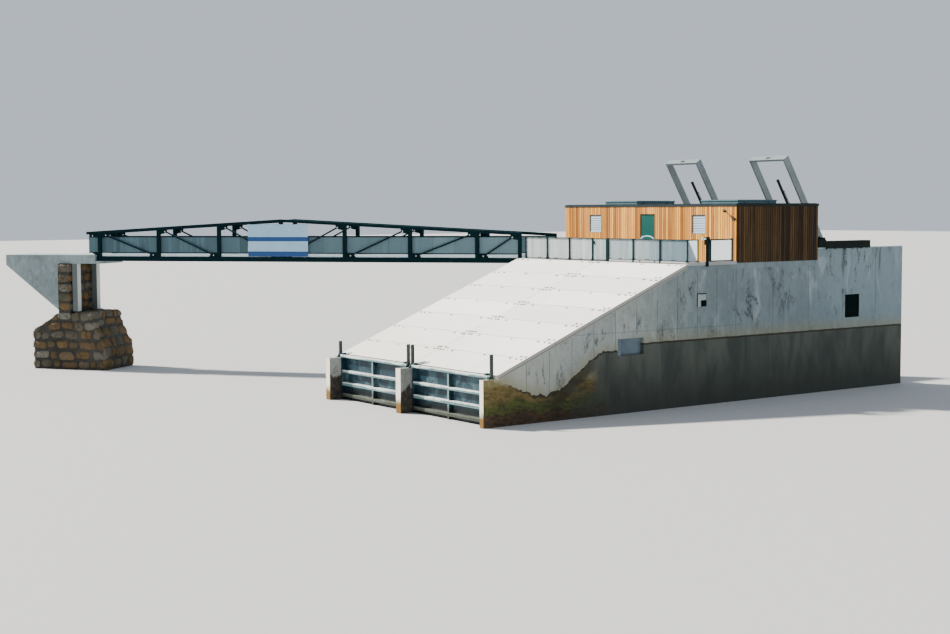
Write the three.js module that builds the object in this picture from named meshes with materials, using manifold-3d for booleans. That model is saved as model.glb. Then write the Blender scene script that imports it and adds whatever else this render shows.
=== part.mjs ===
// Small river power plant with two screw turbines side by side under a sloping slab cover, at full size.
// Millimetres. +X points upstream, +Y to the far bank and +Z up. The origin lies on the plant's centre line,
// below the powerhouse front, at the level of the tailwater, where every wall and footing ends.

import * as THREE from 'three';
import { mergeVertices } from 'three/addons/utils/BufferGeometryUtils.js';
import Module from 'manifold-3d';

const wasm = await Module();
wasm.setup();

// Gaps between pieces
const SEAT = 0.5;
const SLIDE_GAP = 10;

// Whole plant
const HALF_WIDTH = 6100;
const OUTER_WALL = 350;
const MIDDLE_WALL = 500;
const NOSE_X = { near: -14180, middle: -14340, far: -14360 };
const NOSE_START = -13820;
const NOSE_CUT = { near: 100, middle: 130 };
const PIER_TOP = 1950;
const UPSTREAM_X = 11600;
const DECK_Z = 6300;
const DECK_SLAB = 250;
const PARAPET_Z = 6880;
const DUCT_HEIGHT = 310;
const POWERHOUSE_LENGTH = 5400;
const BAY_INNER = HALF_WIDTH - OUTER_WALL;
const BAY_CENTRE = (BAY_INNER + MIDDLE_WALL / 2) / 2;
const BAY_HALF = (BAY_INNER - MIDDLE_WALL / 2) / 2;
const SIDES = [['near', -1], ['far', 1]];

// Sloping cover of precast slabs, which falls from the deck to just above the outlet gates
const COVER_HEAD_X = -3100;
const COVER_TOE_X = -13500;
const COVER_TOE_Z = 2100;
const COVER_THICK = 200;
const COVER_ROWS = 7;
const COVER_JOINT = 8;
const COVER_SEAM = 16;
const COVER_SEAM_DEPTH = 120;
const OVERHANG = 40;
const SLOPE = Math.atan2(DECK_Z - COVER_TOE_Z, COVER_HEAD_X - COVER_TOE_X);
const COVER_LENGTH = Math.hypot(DECK_Z - COVER_TOE_Z, COVER_HEAD_X - COVER_TOE_X);

// Screws and their troughs
const SCREW_R = 2000;
const SHAFT_R = 1000;
const JOURNAL_R = 200;
const FLIGHT_THICK = 30;
const FLIGHT_STARTS = 3;
const FLIGHT_PITCH = 4400;
const FLIGHT_STEPS_PER_TURN = 20;
const SCREW_TO_COVER = 350;
const SCREW_HEAD_S = 950;
const SCREW_TOE_S = 11200;
const TROUGH_GAP = 30;
const TROUGH_HEAD_X = -3000;
const TROUGH_TOE_X = -11700;
const BENCH_DROP = 30;
const HEADRACE_Z = 1400;
const AXIS_DEPTH = COVER_THICK + SCREW_TO_COVER + SCREW_R;

// Shutter and drain flap in the near wall, as [x0, x1, z0, z1]
const SHUTTER = [7380, 8410, 3480, 4590];
const SHUTTER_DEPTH = 90;
const FLAP = [-7070, -5590, 2500, 3220];
const FLAP_DEPTH = 230;

// Outlet gates, which slide up in slots in the piers and in posts that carry on above them
const GATE_X = -13650;
const GATE_DEPTH = 200;
const GATE_TOP = 2080;
const SKIN = 25;
const SLOT_WIDTH = 120;
const MIDDLE_SLOT = 100;
const OUTER_SLOT = 210;
const POST_WALL = 15;
const POST_TOP = 2950;
const FAR_POST_TOP = 2700;
const GATE_BEAMS = [[140, 290], [660, 810], [1250, 1370]];
const MULLION_HALF = 60;
const STILE = 80;
const SHOULDER = 42;

// Powerhouse
const TIMBER_WALL = 200;
const EAVES_Z = 8870;
const ROOF_THICK = 90;
const ROOF_LIP = 30;
const DOOR_NEAR_Y = -665;
const DOOR_FAR_Y = 335;
const DOOR_HEAD_Z = 8490;
const DOOR_THICK = 50;
const HINGE_X = -15;
const HINGE_R = 12;
const HINGE_HEIGHT = 60;
const HINGE_LEVELS = [6560, 8160];
const VENT_CENTRE = 3700;
const VENT_HALF = 450;
const VENT_LOW_Z = 7590;
const VENT_HIGH_Z = 8470;
const VENT_BLADES = 5;
const HATCH_START = 1500;
const HATCH_END = 4070;
const HATCH_CENTRE = 3500;
const HATCH_HALF = 1200;
const HATCH_HEIGHT = 190;

// Intake gates, whose lifting frames lean back over the powerhouse at 32 degrees from upright
const INTAKE_LEAN = THREE.MathUtils.degToRad(32);
const INTAKE_FOOT_X = 11424;
const FRAME_HALF = 1150;
const LEG_WIDTH = 90;
const LEG_DEPTH = 360;
const FRAME_TOP_S = 11556;
const FRAME_BEAM = 100;
const CROSS_BAR_S = 7600;
const LEAF_LOW_S = 1900;
const LEAF_TOP_S = 3750;
const LEAF_THICK = 90;
const GUIDE_FACE = 200;
const GUIDE_FLANGE = 12;
const GUIDE_WEB = 22;
const GUIDE_TOP_S = 8850;
const GUIDE_LOW_S = 126;
const TRUNNION_S = 8200;
const TRUNNION = 200;
const RAM_R = 70;
const RAM_BORE = 42;
const RAM_LOW_S = 8106;
const RAM_TOP_S = 10306;
const ROD_R = 41.5;
const ROD_TOP_S = 10270;
const RAM_HOLE_R = 85;
const INTAKE_WALL = 300;
const INLET_HALF = 1000;
const INLET_TOP_Z = 2900;
const INTAKE_DECK_END = 7765;

// Railing
const RAIL_X = -2950;
const RAIL_POST = 60;
const RAIL_TOP = 7400;
const RAIL_SHEET = 10;
const SHEET_LOW = 6340;
const SHEET_HIGH = 7380;
const KERB_TOP = 6390;
const FAR_POSTS = [460, 2200, 3930, 5660];
const NEAR_POSTS = [-6030, -4240, -2430, -610];
const RAIL_RETURN_X = -2300;
const GATE_HINGE = [-2925, -568];
const GATE_HINGE_R = 8;

// Hoop of flat bar behind the railing
const HOOP_X = -2700;
const HOOP_Y = -3090;
const HOOP_BAR = 45;
const HOOP_HALF = 530;
const HOOP_SPRING = 7250;
const HOOP_RISE = 300;
const HOOP_STEPS = 16;

// Footbridge, in its own frame: +X runs from the deck's far corner to the bank
const BRIDGE_CORNER = [-2890, 6215];
const BRIDGE_SKEW = THREE.MathUtils.degToRad(37.3);
const BRIDGE_WIDTH = 1870;
const BRIDGE_BAY = 3640;
const BRIDGE_SHORT_BAY = 2270;
const TRUSS_HALF = 75;
const ABUTMENT_Z = 6380;
const POST_HALF = 100;
const CHORD_LOW = 6045;
const CHORD_HIGH = 6305;
const TOP_CHORD = 150;
const TOP_CHORD_PLANT = 7600;
const TOP_CHORD_APEX = 8310;
const TOP_CHORD_BANK = 7655;
const DIAGONAL = 80;
const BRIDGE_END = 24275;
const UPPER_END = 24915;
const BANNER_START = 11610;
const BANNER_END = 15090;
const BANNER_LOW = 6330;
const BANNER_HIGH = 8060;
const GUSSET_HALF = 30;
const KICK_TOP = 6465;
const PANEL_LOW = 6500;
const PANEL_HIGH = 7380;

const COLOURS = {
  concrete: [0x8f8f88, 0.9, 0],
  slab: [0xc9c8c0, 0.9, 0],
  steel: [0x9aa5a8, 0.5, 0.7],
  darkGreen: [0x1d3f3c, 0.5, 0.3],
  bridgeGreen: [0x1f4a50, 0.5, 0.3],
  gateGreen: [0x2f4b4a, 0.6, 0.3],
  larch: [0xc98f5c, 0.8, 0],
  darkLarch: [0x5b4433, 0.8, 0],
  roofMetal: [0x4b5458, 0.5, 0.5],
  doorGreen: [0x3f6b4f, 0.6, 0.1],
  black: [0x16181a, 0.4, 0.3],
  stone: [0x8a7f70, 0.95, 0],
  banner: [0xe4e9f0, 0.7, 0],
};

const plant = new THREE.Group();

// Shapes

// A closed prism along Y from points [x, z]
function prismY(points, y0, y1, holes = []) {
  const shape = new THREE.Shape(points.map(([x, z]) => new THREE.Vector2(x, z)));
  for (const hole of holes) {
    shape.holes.push(new THREE.Path(hole.map(([x, z]) => new THREE.Vector2(x, z))));
  }
  const geometry = new THREE.ExtrudeGeometry(shape, { depth: y1 - y0, bevelEnabled: false });
  geometry.rotateX(Math.PI / 2);
  geometry.translate(0, y1, 0);
  return geometry;
}

// A closed prism along X from points [y, z]
function prismX(points, x0, x1, holes = []) {
  const shape = new THREE.Shape(points.map(([y, z]) => new THREE.Vector2(y, z)));
  for (const hole of holes) {
    shape.holes.push(new THREE.Path(hole.map(([y, z]) => new THREE.Vector2(y, z))));
  }
  const geometry = new THREE.ExtrudeGeometry(shape, { depth: x1 - x0, bevelEnabled: false });
  const turn = new THREE.Matrix4().makeBasis(
    new THREE.Vector3(0, 1, 0), new THREE.Vector3(0, 0, 1), new THREE.Vector3(1, 0, 0));
  geometry.applyMatrix4(turn);
  geometry.translate(x0, 0, 0);
  return geometry;
}

// A closed prism along Z from points [x, y]
function prismZ(points, z0, z1) {
  const shape = new THREE.Shape(points.map(([x, y]) => new THREE.Vector2(x, y)));
  const geometry = new THREE.ExtrudeGeometry(shape, { depth: z1 - z0, bevelEnabled: false });
  geometry.translate(0, 0, z0);
  return geometry;
}

function box(x0, x1, y0, y1, z0, z1) {
  const geometry = new THREE.BoxGeometry(x1 - x0, y1 - y0, z1 - z0);
  geometry.translate((x0 + x1) / 2, (y0 + y1) / 2, (z0 + z1) / 2);
  return geometry;
}

// A round bar along Z
function bar(x, y, radius, z0, z1, sides = 16) {
  const geometry = new THREE.CylinderGeometry(radius, radius, z1 - z0, sides);
  geometry.rotateX(Math.PI / 2);
  geometry.translate(x, y, (z0 + z1) / 2);
  return geometry;
}

function rectangle(x0, x1, z0, z1) {
  return [[x0, z0], [x1, z0], [x1, z1], [x0, z1]];
}

function toSolid(geometry) {
  const bare = geometry.clone();
  bare.deleteAttribute('normal');
  bare.deleteAttribute('uv');
  const merged = mergeVertices(bare);
  return new wasm.Manifold(new wasm.Mesh({
    numProp: 3,
    vertProperties: new Float32Array(merged.attributes.position.array),
    triVerts: new Uint32Array(merged.index.array),
  }));
}

function toGeometry(solid) {
  const mesh = solid.getMesh();
  const geometry = new THREE.BufferGeometry();
  geometry.setAttribute('position', new THREE.BufferAttribute(new Float32Array(mesh.vertProperties), 3));
  geometry.setIndex(new THREE.BufferAttribute(new Uint32Array(mesh.triVerts), 1));
  const flat = geometry.toNonIndexed();
  flat.computeVertexNormals();
  return flat;
}

function join(geometries) {
  const solids = geometries.map(toSolid);
  return toGeometry(solids.slice(1).reduce((sum, solid) => sum.add(solid), solids[0]));
}

function cut(geometry, tools) {
  return toGeometry(tools.map(toSolid).reduce((rest, tool) => rest.subtract(tool), toSolid(geometry)));
}

function add(name, geometry, colour, parent = plant) {
  const [color, roughness, metalness] = COLOURS[colour];
  const mesh = new THREE.Mesh(geometry, new THREE.MeshStandardMaterial({ color, roughness, metalness }));
  mesh.name = name;
  parent.add(mesh);
  return mesh;
}

// The point [x, z] at distance s down the cover from its head and depth d below its top face
function coverPoint(s, d) {
  return [
    COVER_HEAD_X - s * Math.cos(SLOPE) + d * Math.sin(SLOPE),
    DECK_Z - s * Math.sin(SLOPE) - d * Math.cos(SLOPE),
  ];
}

// Height of the screw axis above a place along the plant
function axisZ(x) {
  const [x0, z0] = coverPoint(0, AXIS_DEPTH);
  return z0 + (x - x0) * Math.tan(SLOPE);
}

// Concrete walls: the piers at the outlet, the slope under the cover, the deck and the upstream part

function wallOutline(noseX, upstreamPoints) {
  const pierJoint = COVER_LENGTH + 5;
  const pierDepth = (DECK_Z - PIER_TOP - pierJoint * Math.sin(SLOPE)) / Math.cos(SLOPE);
  return [
    [noseX, 0],
    [UPSTREAM_X, 0],
    ...upstreamPoints,
    [COVER_HEAD_X + 100, DECK_Z - DECK_SLAB],
    coverPoint(8, COVER_THICK + SEAT),
    coverPoint(pierJoint, COVER_THICK + SEAT),
    coverPoint(pierJoint, pierDepth),
    [noseX, PIER_TOP],
  ];
}

function gateSlot(wallFace, into, depth) {
  const [y0, y1] = [wallFace - into, wallFace + into * depth].sort((a, b) => a - b);
  return box(GATE_X - SLOT_WIDTH / 2, GATE_X + SLOT_WIDTH / 2, y0, y1, -10, PIER_TOP + 10);
}

// What is taken off a pier's far face in front of its gates
function noseRebate(noseX, farFace, depth) {
  return box(noseX - 10, NOSE_START, farFace - depth, farFace + 10, -10, PIER_TOP + 10);
}

function makeWalls() {
  const raised = [
    [UPSTREAM_X, PARAPET_Z],
    [POWERHOUSE_LENGTH, PARAPET_Z],
    [POWERHOUSE_LENGTH, DECK_Z - DECK_SLAB],
  ];
  const level = [
    [UPSTREAM_X, DECK_Z],
    [INTAKE_DECK_END + 5, DECK_Z],
    [INTAKE_DECK_END + 5, DECK_Z - DECK_SLAB],
  ];
  const near = prismY(wallOutline(NOSE_X.near, raised), -HALF_WIDTH, -BAY_INNER);
  add('near_wall', cut(near, [
    gateSlot(-BAY_INNER, -1, OUTER_SLOT),
    noseRebate(NOSE_X.near, -BAY_INNER, NOSE_CUT.near),
    niche(SHUTTER, SHUTTER_DEPTH),
    niche(FLAP, FLAP_DEPTH),
  ]), 'concrete');
  const far = prismY(wallOutline(NOSE_X.far, raised), BAY_INNER, HALF_WIDTH);
  const bridgeSeat = [
    box(-3060, -350, HALF_WIDTH - 10, HALF_WIDTH + 400, 5650, DECK_Z - DECK_SLAB - 10),
    box(-3060, -350, HALF_WIDTH + SEAT, HALF_WIDTH + 400, 5700, CHORD_LOW - SEAT),
  ];
  add('far_wall', cut(join([far, ...bridgeSeat]), [gateSlot(BAY_INNER, 1, OUTER_SLOT)]), 'concrete');
  const middle = prismY(wallOutline(NOSE_X.middle, level), -MIDDLE_WALL / 2, MIDDLE_WALL / 2);
  add('middle_wall', cut(middle, [
    gateSlot(-MIDDLE_WALL / 2, 1, MIDDLE_SLOT),
    gateSlot(MIDDLE_WALL / 2, -1, MIDDLE_SLOT),
    noseRebate(NOSE_X.middle, MIDDLE_WALL / 2, NOSE_CUT.middle),
  ]), 'concrete');
}

// A recess in the outer face of the near wall, for a rectangle [x0, x1, z0, z1]
function niche([x0, x1, z0, z1], depth) {
  return box(x0, x1, -HALF_WIDTH - 10, -HALF_WIDTH + depth, z0, z1);
}

// The shutter and the drain flap in the near wall's recesses
function makeWallPlates() {
  const [x0, x1, z0, z1] = SHUTTER;
  add('wall_shutter', box(x0, x1, -HALF_WIDTH + 30, -HALF_WIDTH + SHUTTER_DEPTH, z0, z1), 'darkGreen');
  const [left, right, low, high] = FLAP;
  const back = -HALF_WIDTH + FLAP_DEPTH;
  add('drain_flap', join([
    box(left, right, back - 40, back, low, high),
    box(left, left + 200, -HALF_WIDTH + 25, back - 39, low, high),
    box(left, right, -HALF_WIDTH + 110, back - 39, high - 150, high),
  ]), 'steel');
}

function makeDecks() {
  const undercut = DECK_SLAB * Math.tan(SLOPE);
  const slab = prismY([
    [COVER_HEAD_X + 5, DECK_Z],
    [COVER_HEAD_X + 5 + undercut, DECK_Z - DECK_SLAB],
    [POWERHOUSE_LENGTH, DECK_Z - DECK_SLAB],
    [POWERHOUSE_LENGTH, DECK_Z],
  ], -HALF_WIDTH, HALF_WIDTH);
  const kerb = box(-3000, -SEAT, -HALF_WIDTH - OVERHANG, -HALF_WIDTH + 110, DECK_Z - 60, KERB_TOP);
  add('deck_slab', join([slab, kerb]), 'concrete');
  add('intake_deck', box(POWERHOUSE_LENGTH, INTAKE_DECK_END, -BAY_INNER + SEAT, BAY_INNER - SEAT,
    DECK_Z - DECK_SLAB, DECK_Z), 'concrete');
}

// The cover: rows of two slabs each, with a seam over the middle wall

function makeCover() {
  const pitch = COVER_LENGTH / COVER_ROWS;
  for (let row = 0; row < COVER_ROWS; row += 1) {
    const s0 = row * pitch + COVER_JOINT / 2;
    const s1 = (row + 1) * pitch - COVER_JOINT / 2;
    const outline = [coverPoint(s0, 0), coverPoint(s0, COVER_THICK), coverPoint(s1, COVER_THICK),
      coverPoint(s1, 0)];
    const slab = prismY(outline, -HALF_WIDTH - OVERHANG, HALF_WIDTH + OVERHANG);
    const groove = [coverPoint(s0 - 5, -5), coverPoint(s0 - 5, COVER_SEAM_DEPTH),
      coverPoint(s1 + 5, COVER_SEAM_DEPTH), coverPoint(s1 + 5, -5)];
    add(`cover_row_${row + 1}`, cut(slab, [prismY(groove, -COVER_SEAM / 2, COVER_SEAM / 2)]), 'slab');
  }
}

// Screws and troughs

// A round solid along the screw axis, between two distances down the cover
function alongAxis(radius, s0, s1, yCentre, sides) {
  const geometry = new THREE.CylinderGeometry(radius, radius, Math.abs(s1 - s0), sides);
  geometry.rotateZ(-Math.PI / 2);
  geometry.rotateY(-SLOPE);
  const [x, z] = coverPoint((s0 + s1) / 2, AXIS_DEPTH);
  geometry.translate(x, yCentre, z);
  return geometry;
}

// One helical flight as a closed swept plate, made along X and then laid on the screw axis
function flight(start, yCentre) {
  const length = SCREW_TOE_S - SCREW_HEAD_S;
  const steps = Math.round(FLIGHT_STEPS_PER_TURN * length / FLIGHT_PITCH);
  const inner = SHAFT_R - 50;
  const half = FLIGHT_THICK / 2;
  const corners = [[-half, inner], [-half, SCREW_R], [half, SCREW_R], [half, inner]];
  const positions = [];
  for (let i = 0; i <= steps; i += 1) {
    const along = half + (length - FLIGHT_THICK) * i / steps;
    const angle = start + 2 * Math.PI * (length / FLIGHT_PITCH) * i / steps;
    for (const [shift, radius] of corners) {
      positions.push(along + shift, radius * Math.cos(angle), radius * Math.sin(angle));
    }
  }
  const index = [0, 1, 2, 0, 2, 3];
  for (let i = 0; i < steps; i += 1) {
    for (let c = 0; c < 4; c += 1) {
      const p = 4 * i + c;
      const q = 4 * i + (c + 1) % 4;
      index.push(q, p, p + 4, q, p + 4, q + 4);
    }
  }
  const last = 4 * steps;
  index.push(last, last + 2, last + 1, last, last + 3, last + 2);
  const geometry = new THREE.BufferGeometry();
  geometry.setAttribute('position', new THREE.BufferAttribute(new Float32Array(positions), 3));
  geometry.setIndex(index);
  geometry.rotateY(-SLOPE);
  const [x, z] = coverPoint(SCREW_TOE_S, AXIS_DEPTH);
  geometry.translate(x, yCentre, z);
  return geometry;
}

function makeScrew(name, yCentre) {
  const journalEnd = (DECK_SLAB + SEAT + (JOURNAL_R - AXIS_DEPTH) * Math.cos(SLOPE)) / Math.sin(SLOPE);
  const pieces = [
    alongAxis(SHAFT_R, SCREW_TOE_S, SCREW_HEAD_S, yCentre, 24),
    alongAxis(JOURNAL_R, SCREW_HEAD_S + 100, journalEnd, yCentre, 16),
  ];
  for (let i = 0; i < FLIGHT_STARTS; i += 1) {
    pieces.push(flight(2 * Math.PI * i / FLIGHT_STARTS, yCentre));
  }
  const belowWater = box(-16000, 6000, yCentre - 3000, yCentre + 3000, -4000, 0);
  add(name, cut(join(pieces), [belowWater]), 'steel');
}

function makeTrough(name, yCentre) {
  const body = prismY([
    [TROUGH_TOE_X, 0],
    [UPSTREAM_X, 0],
    [UPSTREAM_X, HEADRACE_Z],
    [TROUGH_HEAD_X, HEADRACE_Z],
    [TROUGH_HEAD_X, axisZ(TROUGH_HEAD_X) - BENCH_DROP],
    [TROUGH_TOE_X, axisZ(TROUGH_TOE_X) - BENCH_DROP],
  ], yCentre - BAY_HALF + SEAT, yCentre + BAY_HALF - SEAT);
  const channel = alongAxis(SCREW_R + TROUGH_GAP, COVER_LENGTH + 1500, 0, yCentre, 40);
  add(name, cut(body, [channel]), 'concrete');
}

// Outlet gates

function makeOutletGate(side, direction) {
  const yCentre = direction * BAY_CENTRE;
  const front = GATE_X - GATE_DEPTH / 2;
  const back = GATE_X + GATE_DEPTH / 2;
  const half = BAY_HALF - SLIDE_GAP;
  const across = (x0, x1, reach, z0, z1) => box(x0, x1, yCentre - reach, yCentre + reach, z0, z1);
  const pieces = [
    across(back - SKIN, back, half, 0, GATE_TOP),
    across(front, back, BAY_HALF + SHOULDER, PIER_TOP + SEAT, GATE_TOP),
    across(front, back - SKIN + 1, MULLION_HALF, 0, PIER_TOP + 1),
  ];
  for (const [low, high] of GATE_BEAMS) {
    pieces.push(across(front, back - SKIN + 1, half, low, high));
  }
  for (const end of [-1, 1]) {
    const y = [yCentre + end * half, yCentre + end * (half - STILE)].sort((a, b) => a - b);
    pieces.push(box(front, back - SKIN + 1, y[0], y[1], 0, PIER_TOP + 1));
    const slot = end === direction ? OUTER_SLOT : MIDDLE_SLOT;
    const tongue = [yCentre + end * (half - 10), yCentre + end * (BAY_HALF + slot - SLIDE_GAP)]
      .sort((a, b) => a - b);
    pieces.push(box(GATE_X - SLOT_WIDTH / 2 + SLIDE_GAP, GATE_X + SLOT_WIDTH / 2 - SLIDE_GAP,
      tongue[0], tongue[1], 0, GATE_TOP));
  }
  add(`outlet_gate_${side}`, join(pieces), 'gateGreen');
}

// A channel-shaped post on the pier top that carries the gate slot on upwards, open at its top
function makeGatePost(name, wallFace, into, depth, top) {
  const inner = SLOT_WIDTH / 2;
  const outer = inner + POST_WALL;
  const plate = (x0, x1, from, to, z0, z1) => {
    const [y0, y1] = [wallFace + into * from, wallFace + into * to].sort((a, b) => a - b);
    return box(GATE_X + x0, GATE_X + x1, y0, y1, z0, z1);
  };
  add(name, join([
    plate(-outer, outer, depth, depth + POST_WALL, PIER_TOP, top),
    plate(-outer, -inner, depth - 45, depth + POST_WALL, PIER_TOP, top),
    plate(inner, outer, depth - 45, depth + POST_WALL, PIER_TOP, top),
    plate(-outer, outer, depth, depth + 70, PIER_TOP, PIER_TOP + 20),
  ]), 'darkGreen');
}

// Powerhouse

function ventHole(yCentre) {
  return rectangle(yCentre - VENT_HALF, yCentre + VENT_HALF, VENT_LOW_Z, VENT_HIGH_Z);
}

function makeVent(name, yCentre) {
  const half = VENT_HALF - SEAT;
  const low = VENT_LOW_Z + SEAT;
  const high = VENT_HIGH_Z - SEAT;
  const rim = 50;
  const frame = prismX(rectangle(yCentre - half, yCentre + half, low, high), -20, 60,
    [rectangle(yCentre - half + rim, yCentre + half - rim, low + rim, high - rim)]);
  const pieces = [frame];
  const pitch = (high - low - 2 * rim) / VENT_BLADES;
  for (let i = 0; i < VENT_BLADES; i += 1) {
    const z = low + rim + (i + 0.5) * pitch;
    const blade = prismY([[-10, z - 70], [0, z - 70], [50, z + 60], [40, z + 60]],
      yCentre - half + rim - 5, yCentre + half - rim + 5);
    pieces.push(blade);
  }
  add(name, join(pieces), 'steel');
}

function makePowerhouse() {
  const floor = DECK_Z;
  const nearFront = prismX(rectangle(-HALF_WIDTH, DOOR_NEAR_Y, floor, EAVES_Z), 0, TIMBER_WALL,
    [ventHole(-VENT_CENTRE)]);
  const lugs = [];
  for (const z of HINGE_LEVELS) {
    lugs.push(bar(HINGE_X, DOOR_NEAR_Y, HINGE_R, z, z + HINGE_HEIGHT));
    lugs.push(box(HINGE_X, 1, DOOR_NEAR_Y - 25, DOOR_NEAR_Y - 2, z, z + HINGE_HEIGHT));
  }
  add('front_wall_near', join([nearFront, ...lugs]), 'larch');
  add('front_wall_far', prismX(rectangle(DOOR_FAR_Y, HALF_WIDTH, floor, EAVES_Z), 0, TIMBER_WALL,
    [ventHole(VENT_CENTRE)]), 'larch');
  add('front_wall_over_door', box(0, TIMBER_WALL, DOOR_NEAR_Y, DOOR_FAR_Y, DOOR_HEAD_Z, EAVES_Z), 'larch');
  const back = POWERHOUSE_LENGTH - TIMBER_WALL;
  add('near_side_wall', box(TIMBER_WALL, back, -HALF_WIDTH, -HALF_WIDTH + TIMBER_WALL, floor, EAVES_Z),
    'darkLarch');
  add('far_side_wall', box(TIMBER_WALL, back, HALF_WIDTH - TIMBER_WALL, HALF_WIDTH, floor, EAVES_Z),
    'darkLarch');
  add('rear_wall', box(back, POWERHOUSE_LENGTH, -HALF_WIDTH, HALF_WIDTH, floor, EAVES_Z), 'darkLarch');
  add('roof', box(-ROOF_LIP, POWERHOUSE_LENGTH + ROOF_LIP, -HALF_WIDTH - ROOF_LIP, HALF_WIDTH + ROOF_LIP,
    EAVES_Z, EAVES_Z + ROOF_THICK), 'roofMetal');
  for (const [side, direction] of SIDES) {
    const y = direction * HATCH_CENTRE;
    add(`roof_hatch_${side}`, box(HATCH_START, HATCH_END, y - HATCH_HALF, y + HATCH_HALF,
      EAVES_Z + ROOF_THICK, EAVES_Z + ROOF_THICK + HATCH_HEIGHT), 'roofMetal');
    makeVent(`vent_${side}`, direction * VENT_CENTRE);
  }
  makeDoor();
}

function makeDoor() {
  const leaf = box(5, 5 + DOOR_THICK, DOOR_NEAR_Y + 7, DOOR_FAR_Y - 10, DECK_Z + 6, DOOR_HEAD_Z - 6);
  const pieces = [leaf];
  for (const z of HINGE_LEVELS) {
    const low = z + HINGE_HEIGHT + SEAT;
    pieces.push(bar(HINGE_X, DOOR_NEAR_Y, HINGE_R, low, low + HINGE_HEIGHT));
    pieces.push(box(HINGE_X, 6, DOOR_NEAR_Y + 1, DOOR_NEAR_Y + 25, low, low + HINGE_HEIGHT));
  }
  add('door', join(pieces), 'doorGreen');
}

// Intake: each gate's own frame has X across the gate plane, Y as the plant's and Z up the incline

function inclined(yCentre) {
  const frame = new THREE.Group();
  frame.position.set(INTAKE_FOOT_X, yCentre, HEADRACE_Z);
  frame.rotation.y = -INTAKE_LEAN;
  plant.add(frame);
  return frame;
}

function makeIntakeWall(name, yCentre) {
  const lean = Math.tan(INTAKE_LEAN);
  const face = INTAKE_FOOT_X - (GUIDE_FACE + SEAT) / Math.cos(INTAKE_LEAN);
  const thick = INTAKE_WALL / Math.cos(INTAKE_LEAN);
  const rise = DECK_Z - HEADRACE_Z;
  const low = HEADRACE_Z + SEAT;
  const wall = prismY([
    [face - thick - SEAT * lean, low],
    [face - SEAT * lean, low],
    [face - rise * lean, DECK_Z],
    [face - thick - rise * lean, DECK_Z],
  ], yCentre - BAY_HALF + SEAT, yCentre + BAY_HALF - SEAT);
  const inletY = [yCentre - INLET_HALF, yCentre + INLET_HALF];
  const inlet = box(9000, UPSTREAM_X, ...inletY, HEADRACE_Z - 10, INLET_TOP_Z);
  add(name, cut(wall, [inlet]), 'concrete');
}

function makeIntakeGate(side, frame) {
  const depth = LEG_DEPTH / 2;
  const inner = FRAME_HALF - LEG_WIDTH;
  const portal = prismX([
    [-FRAME_HALF, LEAF_LOW_S],
    [-inner, LEAF_LOW_S],
    [-inner, FRAME_TOP_S - FRAME_BEAM],
    [inner, FRAME_TOP_S - FRAME_BEAM],
    [inner, LEAF_LOW_S],
    [FRAME_HALF, LEAF_LOW_S],
    [FRAME_HALF, FRAME_TOP_S],
    [-FRAME_HALF, FRAME_TOP_S],
  ], -depth, depth);
  const ramHole = bar(0, 0, RAM_HOLE_R, FRAME_TOP_S - FRAME_BEAM - 10, FRAME_TOP_S + 10);
  add(`intake_gate_${side}`, join([
    cut(portal, [ramHole]),
    box(15 - depth, depth - 15, -inner - 8, inner + 8, CROSS_BAR_S, CROSS_BAR_S + 100),
    box(10 - depth, 10 - depth + LEAF_THICK, -inner - 8, inner + 8, LEAF_LOW_S + 15, LEAF_TOP_S),
    bar(0, 0, ROD_R, CROSS_BAR_S + 50, ROD_TOP_S),
  ]), 'steel', frame);
}

function makeGateGuide(side, frame) {
  const pieces = [];
  for (const end of [-1, 1]) {
    const at = (y0, y1) => [end * y0, end * y1].sort((a, b) => a - b);
    const web = at(FRAME_HALF + 8, FRAME_HALF + 8 + GUIDE_WEB);
    const flange = at(FRAME_HALF - 50, FRAME_HALF + 8 + GUIDE_WEB);
    pieces.push(box(-GUIDE_FACE, GUIDE_FACE, ...web, GUIDE_LOW_S, GUIDE_TOP_S));
    pieces.push(box(-GUIDE_FACE, -GUIDE_FACE + GUIDE_FLANGE, ...flange, GUIDE_LOW_S, GUIDE_TOP_S));
    pieces.push(box(GUIDE_FACE - GUIDE_FLANGE, GUIDE_FACE, ...flange, GUIDE_LOW_S, GUIDE_TOP_S));
  }
  const reach = FRAME_HALF + 8 + GUIDE_WEB;
  pieces.push(box(-GUIDE_FACE - 120, -GUIDE_FACE + 1, -reach, reach, TRUNNION_S, TRUNNION_S + TRUNNION));
  pieces.push(box(-GUIDE_FACE, RAM_R + 30, -RAM_R - 30, RAM_R + 30, TRUNNION_S, TRUNNION_S + TRUNNION));
  const clamp = bar(0, 0, RAM_R + SEAT, TRUNNION_S - 10, TRUNNION_S + TRUNNION + 10);
  add(`gate_guide_${side}`, cut(join(pieces), [clamp]), 'steel', frame);
}

function makeRam(side, frame) {
  const profile = [
    [RAM_BORE, RAM_LOW_S],
    [RAM_R, RAM_LOW_S],
    [RAM_R, RAM_TOP_S],
    [0, RAM_TOP_S],
    [0, RAM_TOP_S - 20],
    [RAM_BORE, RAM_TOP_S - 20],
    [RAM_BORE, RAM_LOW_S],
  ].map(([radius, s]) => new THREE.Vector2(radius, s));
  const geometry = new THREE.LatheGeometry(profile, 16);
  geometry.rotateX(Math.PI / 2);
  add(`hydraulic_cylinder_${side}`, geometry, 'black', frame);
}

// Railing, gate and fittings on the deck

function post(y, low, x = RAIL_X) {
  const half = RAIL_POST / 2;
  return box(x - half, x + half, y - half, y + half, low, RAIL_TOP);
}

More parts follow.
